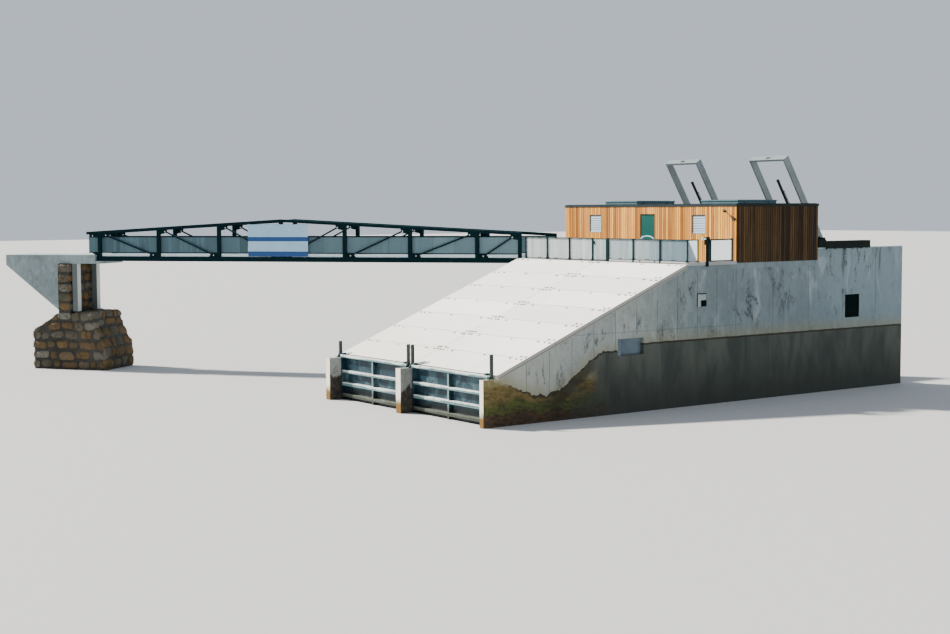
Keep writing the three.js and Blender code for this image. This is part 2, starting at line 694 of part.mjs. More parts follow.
function makeRailing() {
  const sheetX = [RAIL_X + RAIL_POST / 2 - 2, RAIL_X + RAIL_POST / 2 + RAIL_SHEET - 2];
  const farPieces = FAR_POSTS.map((y) => post(y, DECK_Z));
  farPieces.push(box(...sheetX, FAR_POSTS[0], FAR_POSTS.at(-1) + 30, SHEET_LOW, SHEET_HIGH));
  add('railing_far', join(farPieces), 'darkGreen');

  const cornerY = NEAR_POSTS[0];
  const nearPieces = NEAR_POSTS.map((y) => post(y, y === cornerY ? KERB_TOP : DECK_Z));
  nearPieces.push(box(...sheetX, cornerY, NEAR_POSTS.at(-1), KERB_TOP + 10, SHEET_HIGH));
  nearPieces.push(box(RAIL_X, RAIL_RETURN_X, cornerY - 5, cornerY + 5, KERB_TOP + 10, SHEET_HIGH));
  nearPieces.push(box(RAIL_RETURN_X - 40, RAIL_RETURN_X, cornerY - 20, cornerY + 20, KERB_TOP, RAIL_TOP));
  for (const z of [6500, 7160]) {
    nearPieces.push(bar(...GATE_HINGE, GATE_HINGE_R, z, z + 60, 12));
    nearPieces.push(box(GATE_HINGE[0] - 8, GATE_HINGE[0] + 8, GATE_HINGE[1] - 16, GATE_HINGE[1], z, z + 60));
  }
  add('railing_near', join(nearPieces), 'darkGreen');

  const gatePieces = [box(RAIL_X - 15, RAIL_X + 15, -560, 410, SHEET_LOW, SHEET_HIGH)];
  for (const z of [6500, 7160]) {
    const low = z + 60 + SEAT;
    gatePieces.push(bar(...GATE_HINGE, GATE_HINGE_R, low, low + 60, 12));
    const [x, y] = GATE_HINGE;
    gatePieces.push(box(x - 20, x, y, y + 16, low, low + 60));
  }
  add('railing_gate', join(gatePieces), 'darkGreen');
}

function makeDeckFittings() {
  const kerbFace = -HALF_WIDTH - OVERHANG;
  add('control_post', join([
    box(-1950, -1830, kerbFace - 80, kerbFace - SEAT, 6190, 7490),
    box(-1990, -1790, kerbFace - 110, kerbFace + 60, 7150, 7490),
  ]), 'darkGreen');
  add('railing_panel', join([
    box(-1620, -230, cornerRailY() - 20, cornerRailY() + 20, KERB_TOP + 20, RAIL_TOP),
    box(-250, -170, cornerRailY() - 40, cornerRailY() + 40, KERB_TOP, RAIL_TOP + 20),
    box(-1620, -1570, cornerRailY() - 25, cornerRailY() + 25, KERB_TOP, RAIL_TOP),
  ]), 'steel');
  const ductFace = -HALF_WIDTH - 50;
  const ductBack = -HALF_WIDTH + 400;
  const lipped = [
    [ductFace, PARAPET_Z - 50],
    [-HALF_WIDTH - 5, PARAPET_Z - 50],
    [-HALF_WIDTH - 5, PARAPET_Z],
    [ductBack, PARAPET_Z],
    [ductBack, PARAPET_Z + DUCT_HEIGHT],
    [ductFace, PARAPET_Z + DUCT_HEIGHT],
  ];
  add('wall_duct', join([
    prismX(rectangle(ductFace, ductBack, PARAPET_Z, PARAPET_Z + DUCT_HEIGHT + 75), 5450, 5960),
    prismX(lipped, 5950, 9120),
  ]), 'darkGreen');
  add('deck_hoop', prismX(hoopOutline(), HOOP_X, HOOP_X + HOOP_BAR), 'steel');
}

// A bar bent over in half an ellipse on two straight legs
function hoopOutline() {
  const points = [];
  for (const [inset, order] of [[0, 1], [HOOP_BAR, -1]]) {
    const arc = [];
    for (let i = 0; i <= HOOP_STEPS; i += 1) {
      const angle = Math.PI * i / HOOP_STEPS;
      arc.push([
        HOOP_Y + (HOOP_HALF - inset) * Math.cos(angle),
        HOOP_SPRING + (HOOP_RISE - inset) * Math.sin(angle),
      ]);
    }
    const leg = HOOP_HALF - inset;
    const edge = [[HOOP_Y + leg, DECK_Z], ...arc, [HOOP_Y - leg, DECK_Z]];
    points.push(...(order > 0 ? edge : edge.reverse()));
  }
  return points;
}

function cornerRailY() {
  return NEAR_POSTS[0];
}

// Footbridge

function topChordZ(u) {
  const apexU = BRIDGE_SHORT_BAY + 3 * BRIDGE_BAY;
  if (u < apexU) {
    return TOP_CHORD_PLANT + (TOP_CHORD_APEX - TOP_CHORD_PLANT) * u / apexU;
  }
  return TOP_CHORD_APEX + (TOP_CHORD_BANK - TOP_CHORD_APEX) * (u - apexU) / (UPPER_END - apexU);
}

// One truss in its own vertical plane. Its diagonals run between pins on corner plates, and a low board and
// a sheet between two rails close its inner side.
function makeTruss(name, start, verticals, yCentre, inward, frame) {
  const apexU = BRIDGE_SHORT_BAY + 3 * BRIDGE_BAY;
  const side = (points, half) => prismY(points, yCentre - half, yCentre + half);
  const pieces = [
    side(rectangle(start - TRUSS_HALF, BRIDGE_END, CHORD_LOW, CHORD_HIGH), TRUSS_HALF),
    side([
      [start - TRUSS_HALF, topChordZ(start) - TOP_CHORD],
      [apexU, TOP_CHORD_APEX - TOP_CHORD],
      [UPPER_END, TOP_CHORD_BANK - TOP_CHORD],
      [UPPER_END, TOP_CHORD_BANK],
      [apexU, TOP_CHORD_APEX],
      [start - TRUSS_HALF, topChordZ(start)],
    ], TRUSS_HALF),
  ];
  for (const u of verticals) {
    const low = Math.max(u - POST_HALF, start - TRUSS_HALF);
    pieces.push(side(rectangle(low, u + POST_HALF, CHORD_LOW + 20, topChordZ(u) - 50), TRUSS_HALF));
  }
  for (let i = 0; i + 1 < verticals.length; i += 1) {
    const [a, b] = [verticals[i], verticals[i + 1]];
    const [outer, inner] = a < apexU ? [a, b] : [b, a];
    pieces.push(...braces(outer, inner, side));
  }
  const across = (from, to) => [yCentre + inward * from, yCentre + inward * to].sort((p, q) => p - q);
  const sheet = across(60, 74);
  const rail = across(45, 75);
  const end = UPPER_END - TRUSS_HALF;
  pieces.push(box(start, end, ...sheet, PANEL_LOW, PANEL_HIGH));
  pieces.push(box(start, BRIDGE_END - TRUSS_HALF, ...sheet, CHORD_HIGH - 10, KICK_TOP));
  for (const z of [PANEL_LOW - 20, PANEL_HIGH - 10]) {
    pieces.push(box(start, end, ...rail, z, z + 30));
  }
  add(name, join(pieces), 'bridgeGreen', frame);
}

// A diagonal from the top of the outer vertical to the foot of the inner one, with its two corner plates
function braces(outer, inner, side) {
  const way = Math.sign(inner - outer);
  const highU = outer + way * 400;
  const lowU = inner - way * 330;
  const under = (u) => topChordZ(u) - TOP_CHORD;
  const high = under(highU) - 110;
  const low = CHORD_HIGH + 85;
  const bar = [
    [highU, high - DIAGONAL / 2], [lowU, low - DIAGONAL / 2],
    [lowU, low + DIAGONAL / 2], [highU, high + DIAGONAL / 2],
  ];
  const topPlate = [
    [outer, under(outer) - 260], [outer + way * 330, under(highU) - 220],
    [outer + way * 490, under(highU) - 120], [outer + way * 520, under(highU) + 40],
    [outer, under(outer) + 40],
  ];
  const footPlate = [
    [inner, CHORD_HIGH - 40], [inner - way * 600, CHORD_HIGH - 40],
    [inner - way * 570, CHORD_HIGH + 60], [inner - way * 460, CHORD_HIGH + 180], [inner, CHORD_HIGH + 200],
  ];
  return [
    side(bar, DIAGONAL / 2),
    side(topPlate, GUSSET_HALF),
    side(footPlate, GUSSET_HALF),
  ];
}

function makeBridge() {
  const frame = new THREE.Group();
  frame.position.set(BRIDGE_CORNER[0], BRIDGE_CORNER[1], 0);
  frame.rotation.z = Math.PI / 2 + BRIDGE_SKEW;
  plant.add(frame);
  const full = [];
  for (let i = 0; i <= 6; i += 1) {
    full.push(BRIDGE_SHORT_BAY + i * BRIDGE_BAY);
  }
  const farStart = BRIDGE_SHORT_BAY - BRIDGE_BAY;
  makeTruss('bridge_truss_near', 0, [0, ...full], 0, -1, frame);
  makeTruss('bridge_truss_far', farStart, [farStart, ...full], -BRIDGE_WIDTH, 1, frame);

  // A blank banner tied flat against the near truss
  add('banner', box(BANNER_START, BANNER_END, TRUSS_HALF + SEAT, TRUSS_HALF + 8, BANNER_LOW, BANNER_HIGH),
    'banner', frame);

  // The deck's plant end follows the edge of the plant's deck, 5 mm clear of it
  const inner = [-TRUSS_HALF - SEAT, -BRIDGE_WIDTH + TRUSS_HALF + SEAT];
  const edgeY = HALF_WIDTH + 5 - BRIDGE_CORNER[1];
  const edgeU = (v) => (edgeY + v * Math.sin(BRIDGE_SKEW)) / Math.cos(BRIDGE_SKEW);
  const strip = (v0, v1, z0, z1) => prismZ(
    [[edgeU(v0), v0], [edgeU(v1), v1], [BRIDGE_END - 80, v1], [BRIDGE_END - 80, v0]], z0, z1);
  const pieces = [strip(inner[0], inner[1], DECK_Z - 60, DECK_Z)];
  for (const u of full) {
    pieces.push(box(u - 60, u + 60, inner[1], inner[0], CHORD_LOW, DECK_Z - 40));
  }
  add('bridge_deck', join(pieces), 'slab', frame);

  // The abutment: a thin bearing slab on a stone wall with a concrete pillar at each side, and behind them
  // a wing whose foot slopes up the bank
  const seat = CHORD_LOW - SEAT;
  const wingTip = 29980;
  const [stoneFront, stoneBack, stoneFoot, slabLow] = [25750, 26600, 3240, 5900];
  const [farSide, nearSide, pillar] = [-2120, 250, 350];
  add('bridge_abutment', join([
    prismY([
      [23950, slabLow], [stoneBack, slabLow], [stoneBack, stoneFoot + 10], [wingTip, 5800],
      [wingTip, ABUTMENT_Z], [BRIDGE_END + 25, ABUTMENT_Z], [BRIDGE_END + 25, seat], [23950, seat],
    ], farSide, nearSide),
    box(25430, stoneFront, nearSide - pillar, nearSide, stoneFoot, slabLow + 1),
    box(25430, stoneFront, farSide, farSide + pillar, stoneFoot, slabLow + 1),
  ]), 'concrete', frame);
  add('abutment_masonry', prismY([
    [23550, 0], [28300, 0], [28300, 2200], [stoneBack - SEAT, stoneFoot], [stoneBack - SEAT, slabLow - SEAT],
    [stoneFront + SEAT, slabLow - SEAT], [stoneFront + SEAT, stoneFoot - SEAT], [24350, stoneFoot - SEAT],
    [24150, 2400], [23550, 1300],
  ], -2600, 480), 'stone', frame);
}

makeWalls();
makeWallPlates();
makeDecks();
makeCover();
for (const [side, direction] of SIDES) {
  const yCentre = direction * BAY_CENTRE;
  makeTrough(`trough_${side}`, yCentre);
  makeScrew(`screw_${side}`, yCentre);
  makeOutletGate(side, direction);
  makeIntakeWall(`intake_wall_${side}`, yCentre);
  const frame = inclined(yCentre);
  makeIntakeGate(side, frame);
  makeGateGuide(side, frame);
  makeRam(side, frame);
}
makeGatePost('gate_post_1', -BAY_INNER, -1, OUTER_SLOT, POST_TOP);
makeGatePost('gate_post_2', -MIDDLE_WALL / 2, 1, MIDDLE_SLOT, POST_TOP);
makeGatePost('gate_post_3', MIDDLE_WALL / 2, -1, MIDDLE_SLOT, POST_TOP);
makeGatePost('gate_post_4', BAY_INNER, 1, OUTER_SLOT, FAR_POST_TOP);
makePowerhouse();
makeRailing();
makeDeckFittings();
makeBridge();

export default plant;
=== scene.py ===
"""Looks for a small river power plant with two covered screw turbines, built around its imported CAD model.

Everything is in metres in the row frame: +X upstream, +Y to the far bank, +Z up. Pieces of the footbridge
are made in its own frame, which runs from the deck's far corner to the bank.
"""

import math
import random
from itertools import product

import bmesh
import bpy
from mathutils import Matrix, Vector


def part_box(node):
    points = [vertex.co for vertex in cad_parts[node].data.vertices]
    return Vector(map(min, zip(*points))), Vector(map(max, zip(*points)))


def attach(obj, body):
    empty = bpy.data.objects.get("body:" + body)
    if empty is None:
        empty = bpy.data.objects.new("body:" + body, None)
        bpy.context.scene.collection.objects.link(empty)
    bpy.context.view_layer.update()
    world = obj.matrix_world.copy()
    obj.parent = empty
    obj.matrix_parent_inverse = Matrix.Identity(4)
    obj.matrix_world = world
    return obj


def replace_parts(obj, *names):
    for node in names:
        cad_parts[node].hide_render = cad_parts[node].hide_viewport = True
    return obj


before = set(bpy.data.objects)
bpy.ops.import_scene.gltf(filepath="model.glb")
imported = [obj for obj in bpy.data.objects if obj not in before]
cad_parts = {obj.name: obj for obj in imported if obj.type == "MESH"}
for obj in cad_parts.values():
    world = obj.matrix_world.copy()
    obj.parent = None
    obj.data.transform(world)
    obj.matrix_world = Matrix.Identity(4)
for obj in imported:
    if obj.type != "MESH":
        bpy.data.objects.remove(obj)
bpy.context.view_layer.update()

# Camera, fitted to the photograph's straight edges
CAMERA_AT = (-49.523, -54.845, 8.787)
CAMERA_YAW = math.radians(35.6486)
CAMERA_PITCH = math.radians(-4.0731)
CAMERA_ROLL = math.radians(-0.316)
SENSOR = 36.0
LENS = 57.337

# Light and floor
SUN_DIRECTION = (0.38, -0.64, -0.66)
SUN_STRENGTH = 11.5
SUN_WIDTH = math.radians(4.0)
SUN_COLOUR = (1.0, 0.95, 0.87)
SKY_COLOUR = (0.80, 0.89, 1.0, 1.0)
SKY_STRENGTH = 0.75
FLOOR_REACH = 400.0
FLOOR_COLOUR = (0.46, 0.46, 0.455)

# Plant, as in the CAD model
HALF_WIDTH = 6.1
DECK_Z = 6.3
KERB_TOP = 6.39
COVER_HEAD_X = -3.1
COVER_LENGTH = math.hypot(10.4, 4.2)
COVER_SLOPE = math.atan2(4.2, 10.4)
COVER_ROWS = 7
COVER_PITCH = COVER_LENGTH / COVER_ROWS
COVER_HALF = 6.14
BACK_X = 5.4
PARAPET_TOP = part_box("near_wall")[1].z
EAVES_Z = 8.87
ROOF_TOP = 8.96
DOOR_Y = (-0.665, 0.335)
DOOR_HEAD = 8.49
DOOR_STRIP = 0.018
VENT_Y = 3.7
VENT_HALF = 0.45
VENT_Z = (7.59, 8.47)
VENT_BLADES = 7
VENT_BLADE_TURN = Matrix.Rotation(math.radians(13), 4, "Y")
GATE_FRONT = -13.75
GATE_BACK = -13.55
GATE_TOP = 2.08
GATE_STILE = 0.08
GATE_BEAMS = (0.215, 0.735, 1.31)
GATE_BEAM_TOPS = (0.29, 0.81, 1.37, 2.08)
PIER_TOP = 1.95
FORM_PITCH = 2.4
LIFT_JOINT_Z = 3.5
BAY_CENTRE = 3.0
BAY_HALF = 2.75
INTAKE_FOOT = (11.424, 1.4)
INTAKE_LEAN = math.radians(32)
SIDES = (("near", -1), ("far", 1))

# Railing
RAIL_X = -2.95
RAIL_TOP = 7.4
FAR_POSTS = (0.46, 2.2, 3.93, 5.66)
NEAR_POSTS = (-6.03, -4.24, -2.43, -0.61)
RAIL_RETURN_X = -2.3
HINGE_PIN = (-2.925, -0.568)
HINGE_HEIGHTS = (6.5, 7.16)
HOLE_PITCH = 0.03

# Footbridge
BRIDGE_CORNER = (-2.890, 6.215, 0.0)
BRIDGE_SKEW = math.radians(37.3)
BRIDGE_FRAME = Matrix.Translation(BRIDGE_CORNER) @ Matrix.Rotation(math.pi / 2 + BRIDGE_SKEW, 4, "Z")
BRIDGE_ALONG = (-math.sin(BRIDGE_SKEW), math.cos(BRIDGE_SKEW))
BRIDGE_ORIGIN = BRIDGE_CORNER[0] * BRIDGE_ALONG[0] + BRIDGE_CORNER[1] * BRIDGE_ALONG[1]
BRIDGE_WIDTH = 1.87
SHORT_BAY = 2.27
BAY = 3.64
TRUSS_HALF = 0.075
APEX_U = SHORT_BAY + 3 * BAY
LOWER_END = 24.275
UPPER_END = 24.915
CHORD_LOW = 6.045
CHORD_TOP = 6.305
KICK_TOP = 6.465
PANEL = (6.5, 7.38)
SHEET_FRONT = 0.058
SHEET_BACK = 0.0755
TOP_CHORD = 0.15
TOP_AT_PLANT = 7.6
TOP_AT_APEX = 8.31
TOP_AT_BANK = 7.655
TOP_PIN = 0.4
FOOT_PIN = 0.33
TOP_PIN_DROP = 0.11
FOOT_PIN_RISE = 0.085
BANNER_START = 11.61
BANNER_END = 15.09
BANNER_LOW = 6.33
BANNER_TOP = 8.06
BANNER_TIES = 6
UPPER_BAND = (7.14, 7.37)
LOWER_BAND_TOP = 6.60
STONE_FACE = 0.48
STONE_BACK = -2.6
COURSE = 0.54

# Boards
BOARD = 0.145
BOARD_GAP = 0.027
BOARD_THICK = 0.018
IDENTITY = Matrix()
SIGNS = list(product((-1, 1), repeat=3))


# Shapes


class Shape:
    """A mesh put together from blocks, rods and plates, made in the row frame or in a frame of its own.

    Each thing added has a tone from 0 to 1, which a material can read.
    """

    def __init__(self, place=IDENTITY):
        self.mesh = bmesh.new()
        self.tone = self.mesh.verts.layers.float.new("tone")
        self.place = place

    def vertex(self, at, tone):
        made = self.mesh.verts.new(at)
        made[self.tone] = tone
        return made

    def block(self, low, high, bevel=0.004, turn=IDENTITY, tone=0.5):
        """A chamfered block between two opposite corners, turned about its centre."""
        low, high = Vector(low), Vector(high)
        centre = (low + high) / 2
        half = [abs(reach) for reach in (high - low) / 2]
        corner = {}
        for sign in SIGNS:
            for axis in range(3):
                inset = [0.0 if i == axis else bevel for i in range(3)]
                at = Vector([sign[i] * (half[i] - inset[i]) for i in range(3)])
                corner[sign, axis] = self.vertex(centre + turn.to_3x3() @ at, tone)
        for axis in range(3):
            for side in (-1, 1):
                ring = [sign for sign in SIGNS if sign[axis] == side]
                self.mesh.faces.new([corner[ring[i], axis] for i in (0, 1, 3, 2)])
            first, second = [i for i in range(3) if i != axis]
            for s, t in product((-1, 1), repeat=2):
                ends = [sign for sign in SIGNS if sign[first] == s and sign[second] == t]
                self.mesh.faces.new([
                    corner[ends[0], first], corner[ends[0], second],
                    corner[ends[1], second], corner[ends[1], first],
                ])
        for sign in SIGNS:
            self.mesh.faces.new([corner[sign, axis] for axis in range(3)])

    def toned(self, made, tone=0.5):
        for v in made["verts"]:
            v[self.tone] = tone

    def rod(self, start, end, radius, sides=12, tip=None):
        """A round bar, or a cone where tip gives the radius at its end."""
        start, end = Vector(start), Vector(end)
        run = end - start
        turn = run.to_track_quat("Z", "Y").to_matrix().to_4x4()
        self.toned(bmesh.ops.create_cone(
            self.mesh, cap_ends=True, segments=sides, radius1=radius,
            radius2=radius if tip is None else tip, depth=run.length,
            matrix=Matrix.Translation((start + end) / 2) @ turn))

    def ball(self, centre, radius, squash=(1, 1, 1)):
        size = Matrix.Diagonal((*[radius * k for k in squash], 1.0))
        self.toned(bmesh.ops.create_uvsphere(
            self.mesh, u_segments=16, v_segments=10, radius=1.0, matrix=Matrix.Translation(centre) @ size))

    def tube(self, path, radius, knuckle, sides):
        """Round bars along a path, with a ball at each bend."""
        for start, end in zip(path, path[1:]):
            self.rod(start, end, radius, sides)
            self.ball(end, knuckle)

    def plate(self, points, offset):
        """A flat outline swept by an offset."""
        low = [self.vertex(Vector(p), 0.5) for p in points]
        high = [self.vertex(Vector(p) + Vector(offset), 0.5) for p in points]
        self.mesh.faces.new(low)
        self.mesh.faces.new(list(reversed(high)))
        for i in range(len(points)):
            j = (i + 1) % len(points)
            self.mesh.faces.new([low[i], high[i], high[j], low[j]])

    def bolt(self, at, outward, radius=0.012):
        """A six-sided bolt head on a washer."""
        at, outward = Vector(at), Vector(outward).normalized()
        self.rod(at - outward * 0.002, at + outward * 0.003, radius * 1.7, 12)
        self.rod(at, at + outward * 0.012, radius, 6)

    def finish(self, name, surface, body="plant", slot=None, smooth=False):
        bmesh.ops.recalc_face_normals(self.mesh, faces=self.mesh.faces[:])
        self.mesh.transform(self.place)
        mesh = bpy.data.meshes.new(name)
        self.mesh.to_mesh(mesh)
        self.mesh.free()
        if smooth:
            mesh.polygons.foreach_set("use_smooth", [True] * len(mesh.polygons))
        mesh.materials.append(surface)
        made = bpy.data.objects.new(name, mesh)
        bpy.context.scene.collection.objects.link(made)
        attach(made, body)
        return made


# Materials


class Surface:
    """One procedural material. Its textures use object coordinates, which are the row frame in metres."""

    def __init__(self, name, roughness=0.8, metallic=0.0, shine=0.5):
        self.material = bpy.data.materials.new(name)
        self.material.use_nodes = True
        self.tree = self.material.node_tree
        self.shader = self.tree.nodes["Principled BSDF"]
        self.shader.inputs["Roughness"].default_value = roughness
        self.shader.inputs["Metallic"].default_value = metallic
        self.shader.inputs["Specular IOR Level"].default_value = shine
        self.place = self.node("TexCoord", output="Object")
        self.x, self.y, self.z = [self.node("SeparateXYZ", {0: self.place}, axis) for axis in range(3)]
        self.colour = None

    def feed(self, socket, value):
        """Links a socket to another, or sets it to a number or colour."""
        if isinstance(value, bpy.types.NodeSocket):
            self.tree.links.new(value, socket)
        elif isinstance(value, (tuple, list)) and len(value) == 3 and socket.type == "RGBA":
            socket.default_value = (*value, 1.0)
        else:
            socket.default_value = value

    def node(self, kind, inputs=None, output=0, **settings):
        """Adds a shader node, sets it and its inputs, and returns one of its outputs."""
        made = self.tree.nodes.new("ShaderNode" + kind)
        for key, value in settings.items():
            setattr(made, key, value)
        for key, value in (inputs or {}).items():
            self.feed(made.inputs[key], value)
        return made.outputs[output]

    def maths(self, operation, a, b=0.0, c=0.0):
        return self.node("Math", {0: a, 1: b, 2: c}, operation=operation)

    def add(self, a, b):
        return self.maths("ADD", a, b)

    def less(self, a, b):
        return self.maths("SUBTRACT", a, b)

    def times(self, a, b):
        return self.maths("MULTIPLY", a, b)

    def size(self, a):
        return self.maths("ABSOLUTE", a)

    def most(self, a, b):
        return self.maths("MAXIMUM", a, b)

    def run(self, direction):
        """Distance along a level direction (dx, dy) of the row frame."""
        return self.add(self.times(self.x, direction[0]), self.times(self.y, direction[1]))

    def facing(self, direction):
        """How far the surface faces along a direction of the row frame, from -1 to 1."""
        normal = self.node("TexCoord", output="Normal")
        return self.node("VectorMath", {0: normal, 1: direction}, "Value", operation="DOT_PRODUCT")

    def sideways(self):
        """1 on what faces along Y to either side, else 0."""
        return self.remap(self.size(self.facing((0, 1, 0))), 0.5, 0.6)

    def remap(self, value, low, high, start=0.0, end=1.0):
        """A smooth step from start to end as value goes from low to high."""
        keys = ("Value", "From Min", "From Max", "To Min", "To Max")
        inputs = dict(zip(keys, (value, low, high, start, end)))
        return self.node("MapRange", inputs, "Result", interpolation_type="SMOOTHSTEP")

    def stretched(self, scale):
        """Where a texture is read. A single number stretches it upright only."""
        if not isinstance(scale, tuple):
            scale = (1, 1, scale)
        return self.node("Mapping", {"Vector": self.place, "Scale": scale}, "Vector")

    def noise(self, scale, detail=4.0, stretch=1, warp=0.0):
        inputs = {"Scale": scale, "Detail": detail, "Distortion": warp, "Vector": self.stretched(stretch)}
        return self.node("TexNoise", inputs, "Fac")

    def sway(self, amount, *noise, **more):
        """A wavering by up to half an amount either way."""
        return self.times(self.less(self.noise(*noise, **more), 0.5), amount)

    def cells(self, scale, stretch=1, output="Distance"):
        return self.node("TexVoronoi", {"Scale": scale, "Vector": self.stretched(stretch)}, output)

    def tone(self):
        """The tone that each part of a Shape was given."""
        return self.node("Attribute", output="Fac", attribute_name="tone")

    def hashed(self, a, b=0.0):
        """A random number from 0 to 1 for each pair of whole numbers."""
        steps = {axis: self.add(self.maths("FLOOR", value), 0.5) for axis, value in enumerate((a, b))}
        pair = self.node("CombineXYZ", steps)
        return self.node("TexWhiteNoise", {"Vector": pair}, "Value", noise_dimensions="2D")

    def mix(self, a, b, factor):
        return self.node("Mix", {"Factor": factor, 6: a, 7: b}, 2, data_type="RGBA")

    def tint(self, under, over, value, low, high, start=0.0, end=1.0):
        """One colour over another, with a strength from start to end as value goes from low to high."""
        return self.mix(under, over, self.remap(value, low, high, start, end))

    def lay(self, over, factor):
        """Lays a colour over what the surface has so far."""
        self.colour = self.mix(self.colour, over, factor)

    def wash(self, over, value, low, high, start=0.0, end=1.0):
        """Lays a colour over what the surface has so far, as tint does."""
        self.colour = self.tint(self.colour, over, value, low, high, start, end)

    def lines(self, value, pitch, half_width):
        """1 on thin lines at every whole multiple of pitch, else 0."""
        steps = self.maths("DIVIDE", value, pitch)
        away = self.size(self.less(steps, self.maths("ROUND", steps)))
        return self.remap(self.times(away, pitch), half_width * 0.4, half_width, 1.0, 0.0)

    def finish(self, height=None, distance=0.002, strength=0.6, roughness=None):
        self.feed(self.shader.inputs["Base Color"], self.colour)
        if height is not None:
            inputs = {"Strength": strength, "Distance": distance, "Height": height}
            self.feed(self.shader.inputs["Normal"], self.node("Bump", inputs, "Normal"))
        if roughness is not None:
            self.feed(self.shader.inputs["Roughness"], roughness)
        return self.material


def shade(colour, amount):
    return tuple(min(1.0, c * amount) for c in colour)


def mottled(s, light, dark, stains):
    """Cloudy concrete with streaks and dark blots. Returns the height that goes with it."""
    cloud = s.noise(0.45, 6.0, warp=0.4)
    streak = s.noise(1.6, 5.0, stretch=0.18, warp=0.3)
    grain = s.noise(38.0, 3.0)
    s.colour = s.tint(dark, light, cloud, 0.3, 0.7)
    s.wash(dark, streak, 0.52, 0.72, 0.0, stains)
    fleck = s.noise(6.0, 6.0, stretch=0.5, warp=0.8)
    s.wash(shade(dark, 0.85), fleck, 0.48, 0.68, 0.0, 0.6)
    s.wash(shade(light, 1.15), fleck, 0.32, 0.46, 0.35, 0.0)
    s.wash(shade(light, 1.12), grain, 0.55, 0.75, 0.0, 0.3)
    return s.add(s.times(grain, 0.3), s.times(cloud, 0.7))


def concrete(name, light, dark, stains=0.5, green=0.0):
    """Plain cast concrete, dark and green up to the height that green gives."""
    s = Surface(name, roughness=0.9, shine=0.3)
    height = mottled(s, light, dark, stains)
    if green:
        level = s.less(s.z, s.noise(0.8, 5.0, warp=0.6))
        slime = s.mix((0.035, 0.033, 0.012), (0.09, 0.065, 0.02), s.noise(2.2, 4.0))
        s.wash(slime, level, green - 0.6, green - 0.3, 0.85, 0.0)
    return s.finish(height, 0.006, 0.5)


def nose_face(s, nose):
    """The front face of a pier, cream and far paler than its sides as painted sunlight, with its ochre foot.
    """
    front = s.remap(s.x, nose + 0.002, nose + 0.006, 1.0, 0.0)
    edge = s.add(s.z, s.times(s.noise(4.0, 4.0), 0.35))
    blots = s.noise(5.0, 6.0, stretch=0.4, warp=0.7)
    cream = s.tint((0.93, 0.87, 0.73), (0.56, 0.50, 0.39), blots, 0.5, 0.68, 0.0, 0.6)
    face = s.tint((0.20, 0.105, 0.02), cream, edge, 0.5, 0.95)
    # Painted sunlight: only the front face gets the pale cream; the ochre foot is a stain.
    s.lay(face, front)


def tide_line(s):
    """Height of the wet line on the long walls, which dips behind the outlet and rises to the pond."""
    nose = s.remap(s.x, -14.2, -11.1, 2.0, 1.08)
    climb = s.remap(s.x, -11.0, -7.6, 0.0, 1.62)
    pond = s.remap(s.x, -7.6, -5.2, 0.0, 0.25)
    wobble = s.sway(s.remap(s.x, -8.0, -5.0, 0.55, 0.06), 2.6, 6.0, warp=0.5)
    return s.add(s.add(nose, climb), s.add(pond, wobble))


def formwork(s):
    """Board joints and tie holes left by the shuttering."""
    fine = s.times(s.lines(s.x, FORM_PITCH / 2, 0.02), s.remap(s.x, -0.3, -0.2, 1.0, 0.0))
    seam = s.most(fine, s.lines(s.x, FORM_PITCH, 0.022))
    seam = s.times(seam, s.remap(s.noise(1.1, 2.0), 0.36, 0.5, 0.4, 1.0))
    lift = s.remap(s.size(s.less(s.z, LIFT_JOINT_Z)), 0.008, 0.02, 0.6, 0.0)
    lift = s.times(lift, s.remap(s.x, 0.2, 0.4, 1.0, 0.0))
    across = s.less(s.lines(s.x, FORM_PITCH / 2, 0.34), s.lines(s.x, FORM_PITCH / 2, 0.25))
    holes = s.times(s.maths("GREATER_THAN", across, 0.6), s.lines(s.z, 0.42, 0.045))
    return s.most(seam, lift), s.times(holes, 0.5)


def smears(s):
    """Dark scuffs in clusters, and drips below the top edge."""
    scuff = s.noise(2.4, 8.0, stretch=0.45, warp=0.6)
    where = s.noise(0.4, 3.0)
    speckle = s.remap(s.noise(11.0, 5.0, stretch=0.6), 0.42, 0.58, 0.25, 1.0)
    scuff = s.times(s.remap(scuff, 0.52, 0.64), s.times(s.remap(where, 0.44, 0.6, 0.1, 1.0), speckle))
    drip = s.noise(3.4, 6.0, stretch=0.1, warp=0.25)
    under = s.remap(s.z, 4.4, 6.6, 0.0, 0.8)
    return s.most(scuff, s.times(s.remap(drip, 0.57, 0.7), under))


def river_growth(s, away):
    """Khaki, brown, green and dark bands of growth on the wetted wall, near-black beside the chute."""
    fine = s.noise(9.0, 6.0, stretch=(0.5, 0.5, 1.2), warp=0.5)
    patch = s.noise(2.6, 7.0, stretch=(0.6, 0.6, 1.3), warp=0.7)
    drift = s.add(s.z, s.sway(0.9, 1.3, 6.0, stretch=(0.7, 0.7, 1.0), warp=0.4))
    khaki = s.tint((0.19, 0.155, 0.06), (0.33, 0.29, 0.16), patch, 0.35, 0.65)
    umber = s.tint((0.085, 0.060, 0.014), (0.165, 0.115, 0.035), fine, 0.35, 0.65)
    moss = s.tint((0.030, 0.036, 0.006), (0.075, 0.082, 0.014), fine, 0.35, 0.65)
    brown = s.tint((0.020, 0.012, 0.006), (0.075, 0.036, 0.014), fine, 0.38, 0.62)
    growth = s.tint(umber, khaki, drift, 1.5, 1.85)
    growth = s.tint(moss, growth, drift, 0.85, 1.1)
    growth = s.tint(brown, growth, drift, 0.4, 0.62)
    growth = s.tint(growth, (0.025, 0.0175, 0.0075), patch, 0.56, 0.72, 0.0, 0.6)
    chute = s.times(s.remap(s.x, -11.6, -10.2), s.remap(away, -0.75, -0.35, 0.35, 1.0))
    return s.mix(growth, (0.012, 0.010, 0.004), s.times(chute, 0.85))


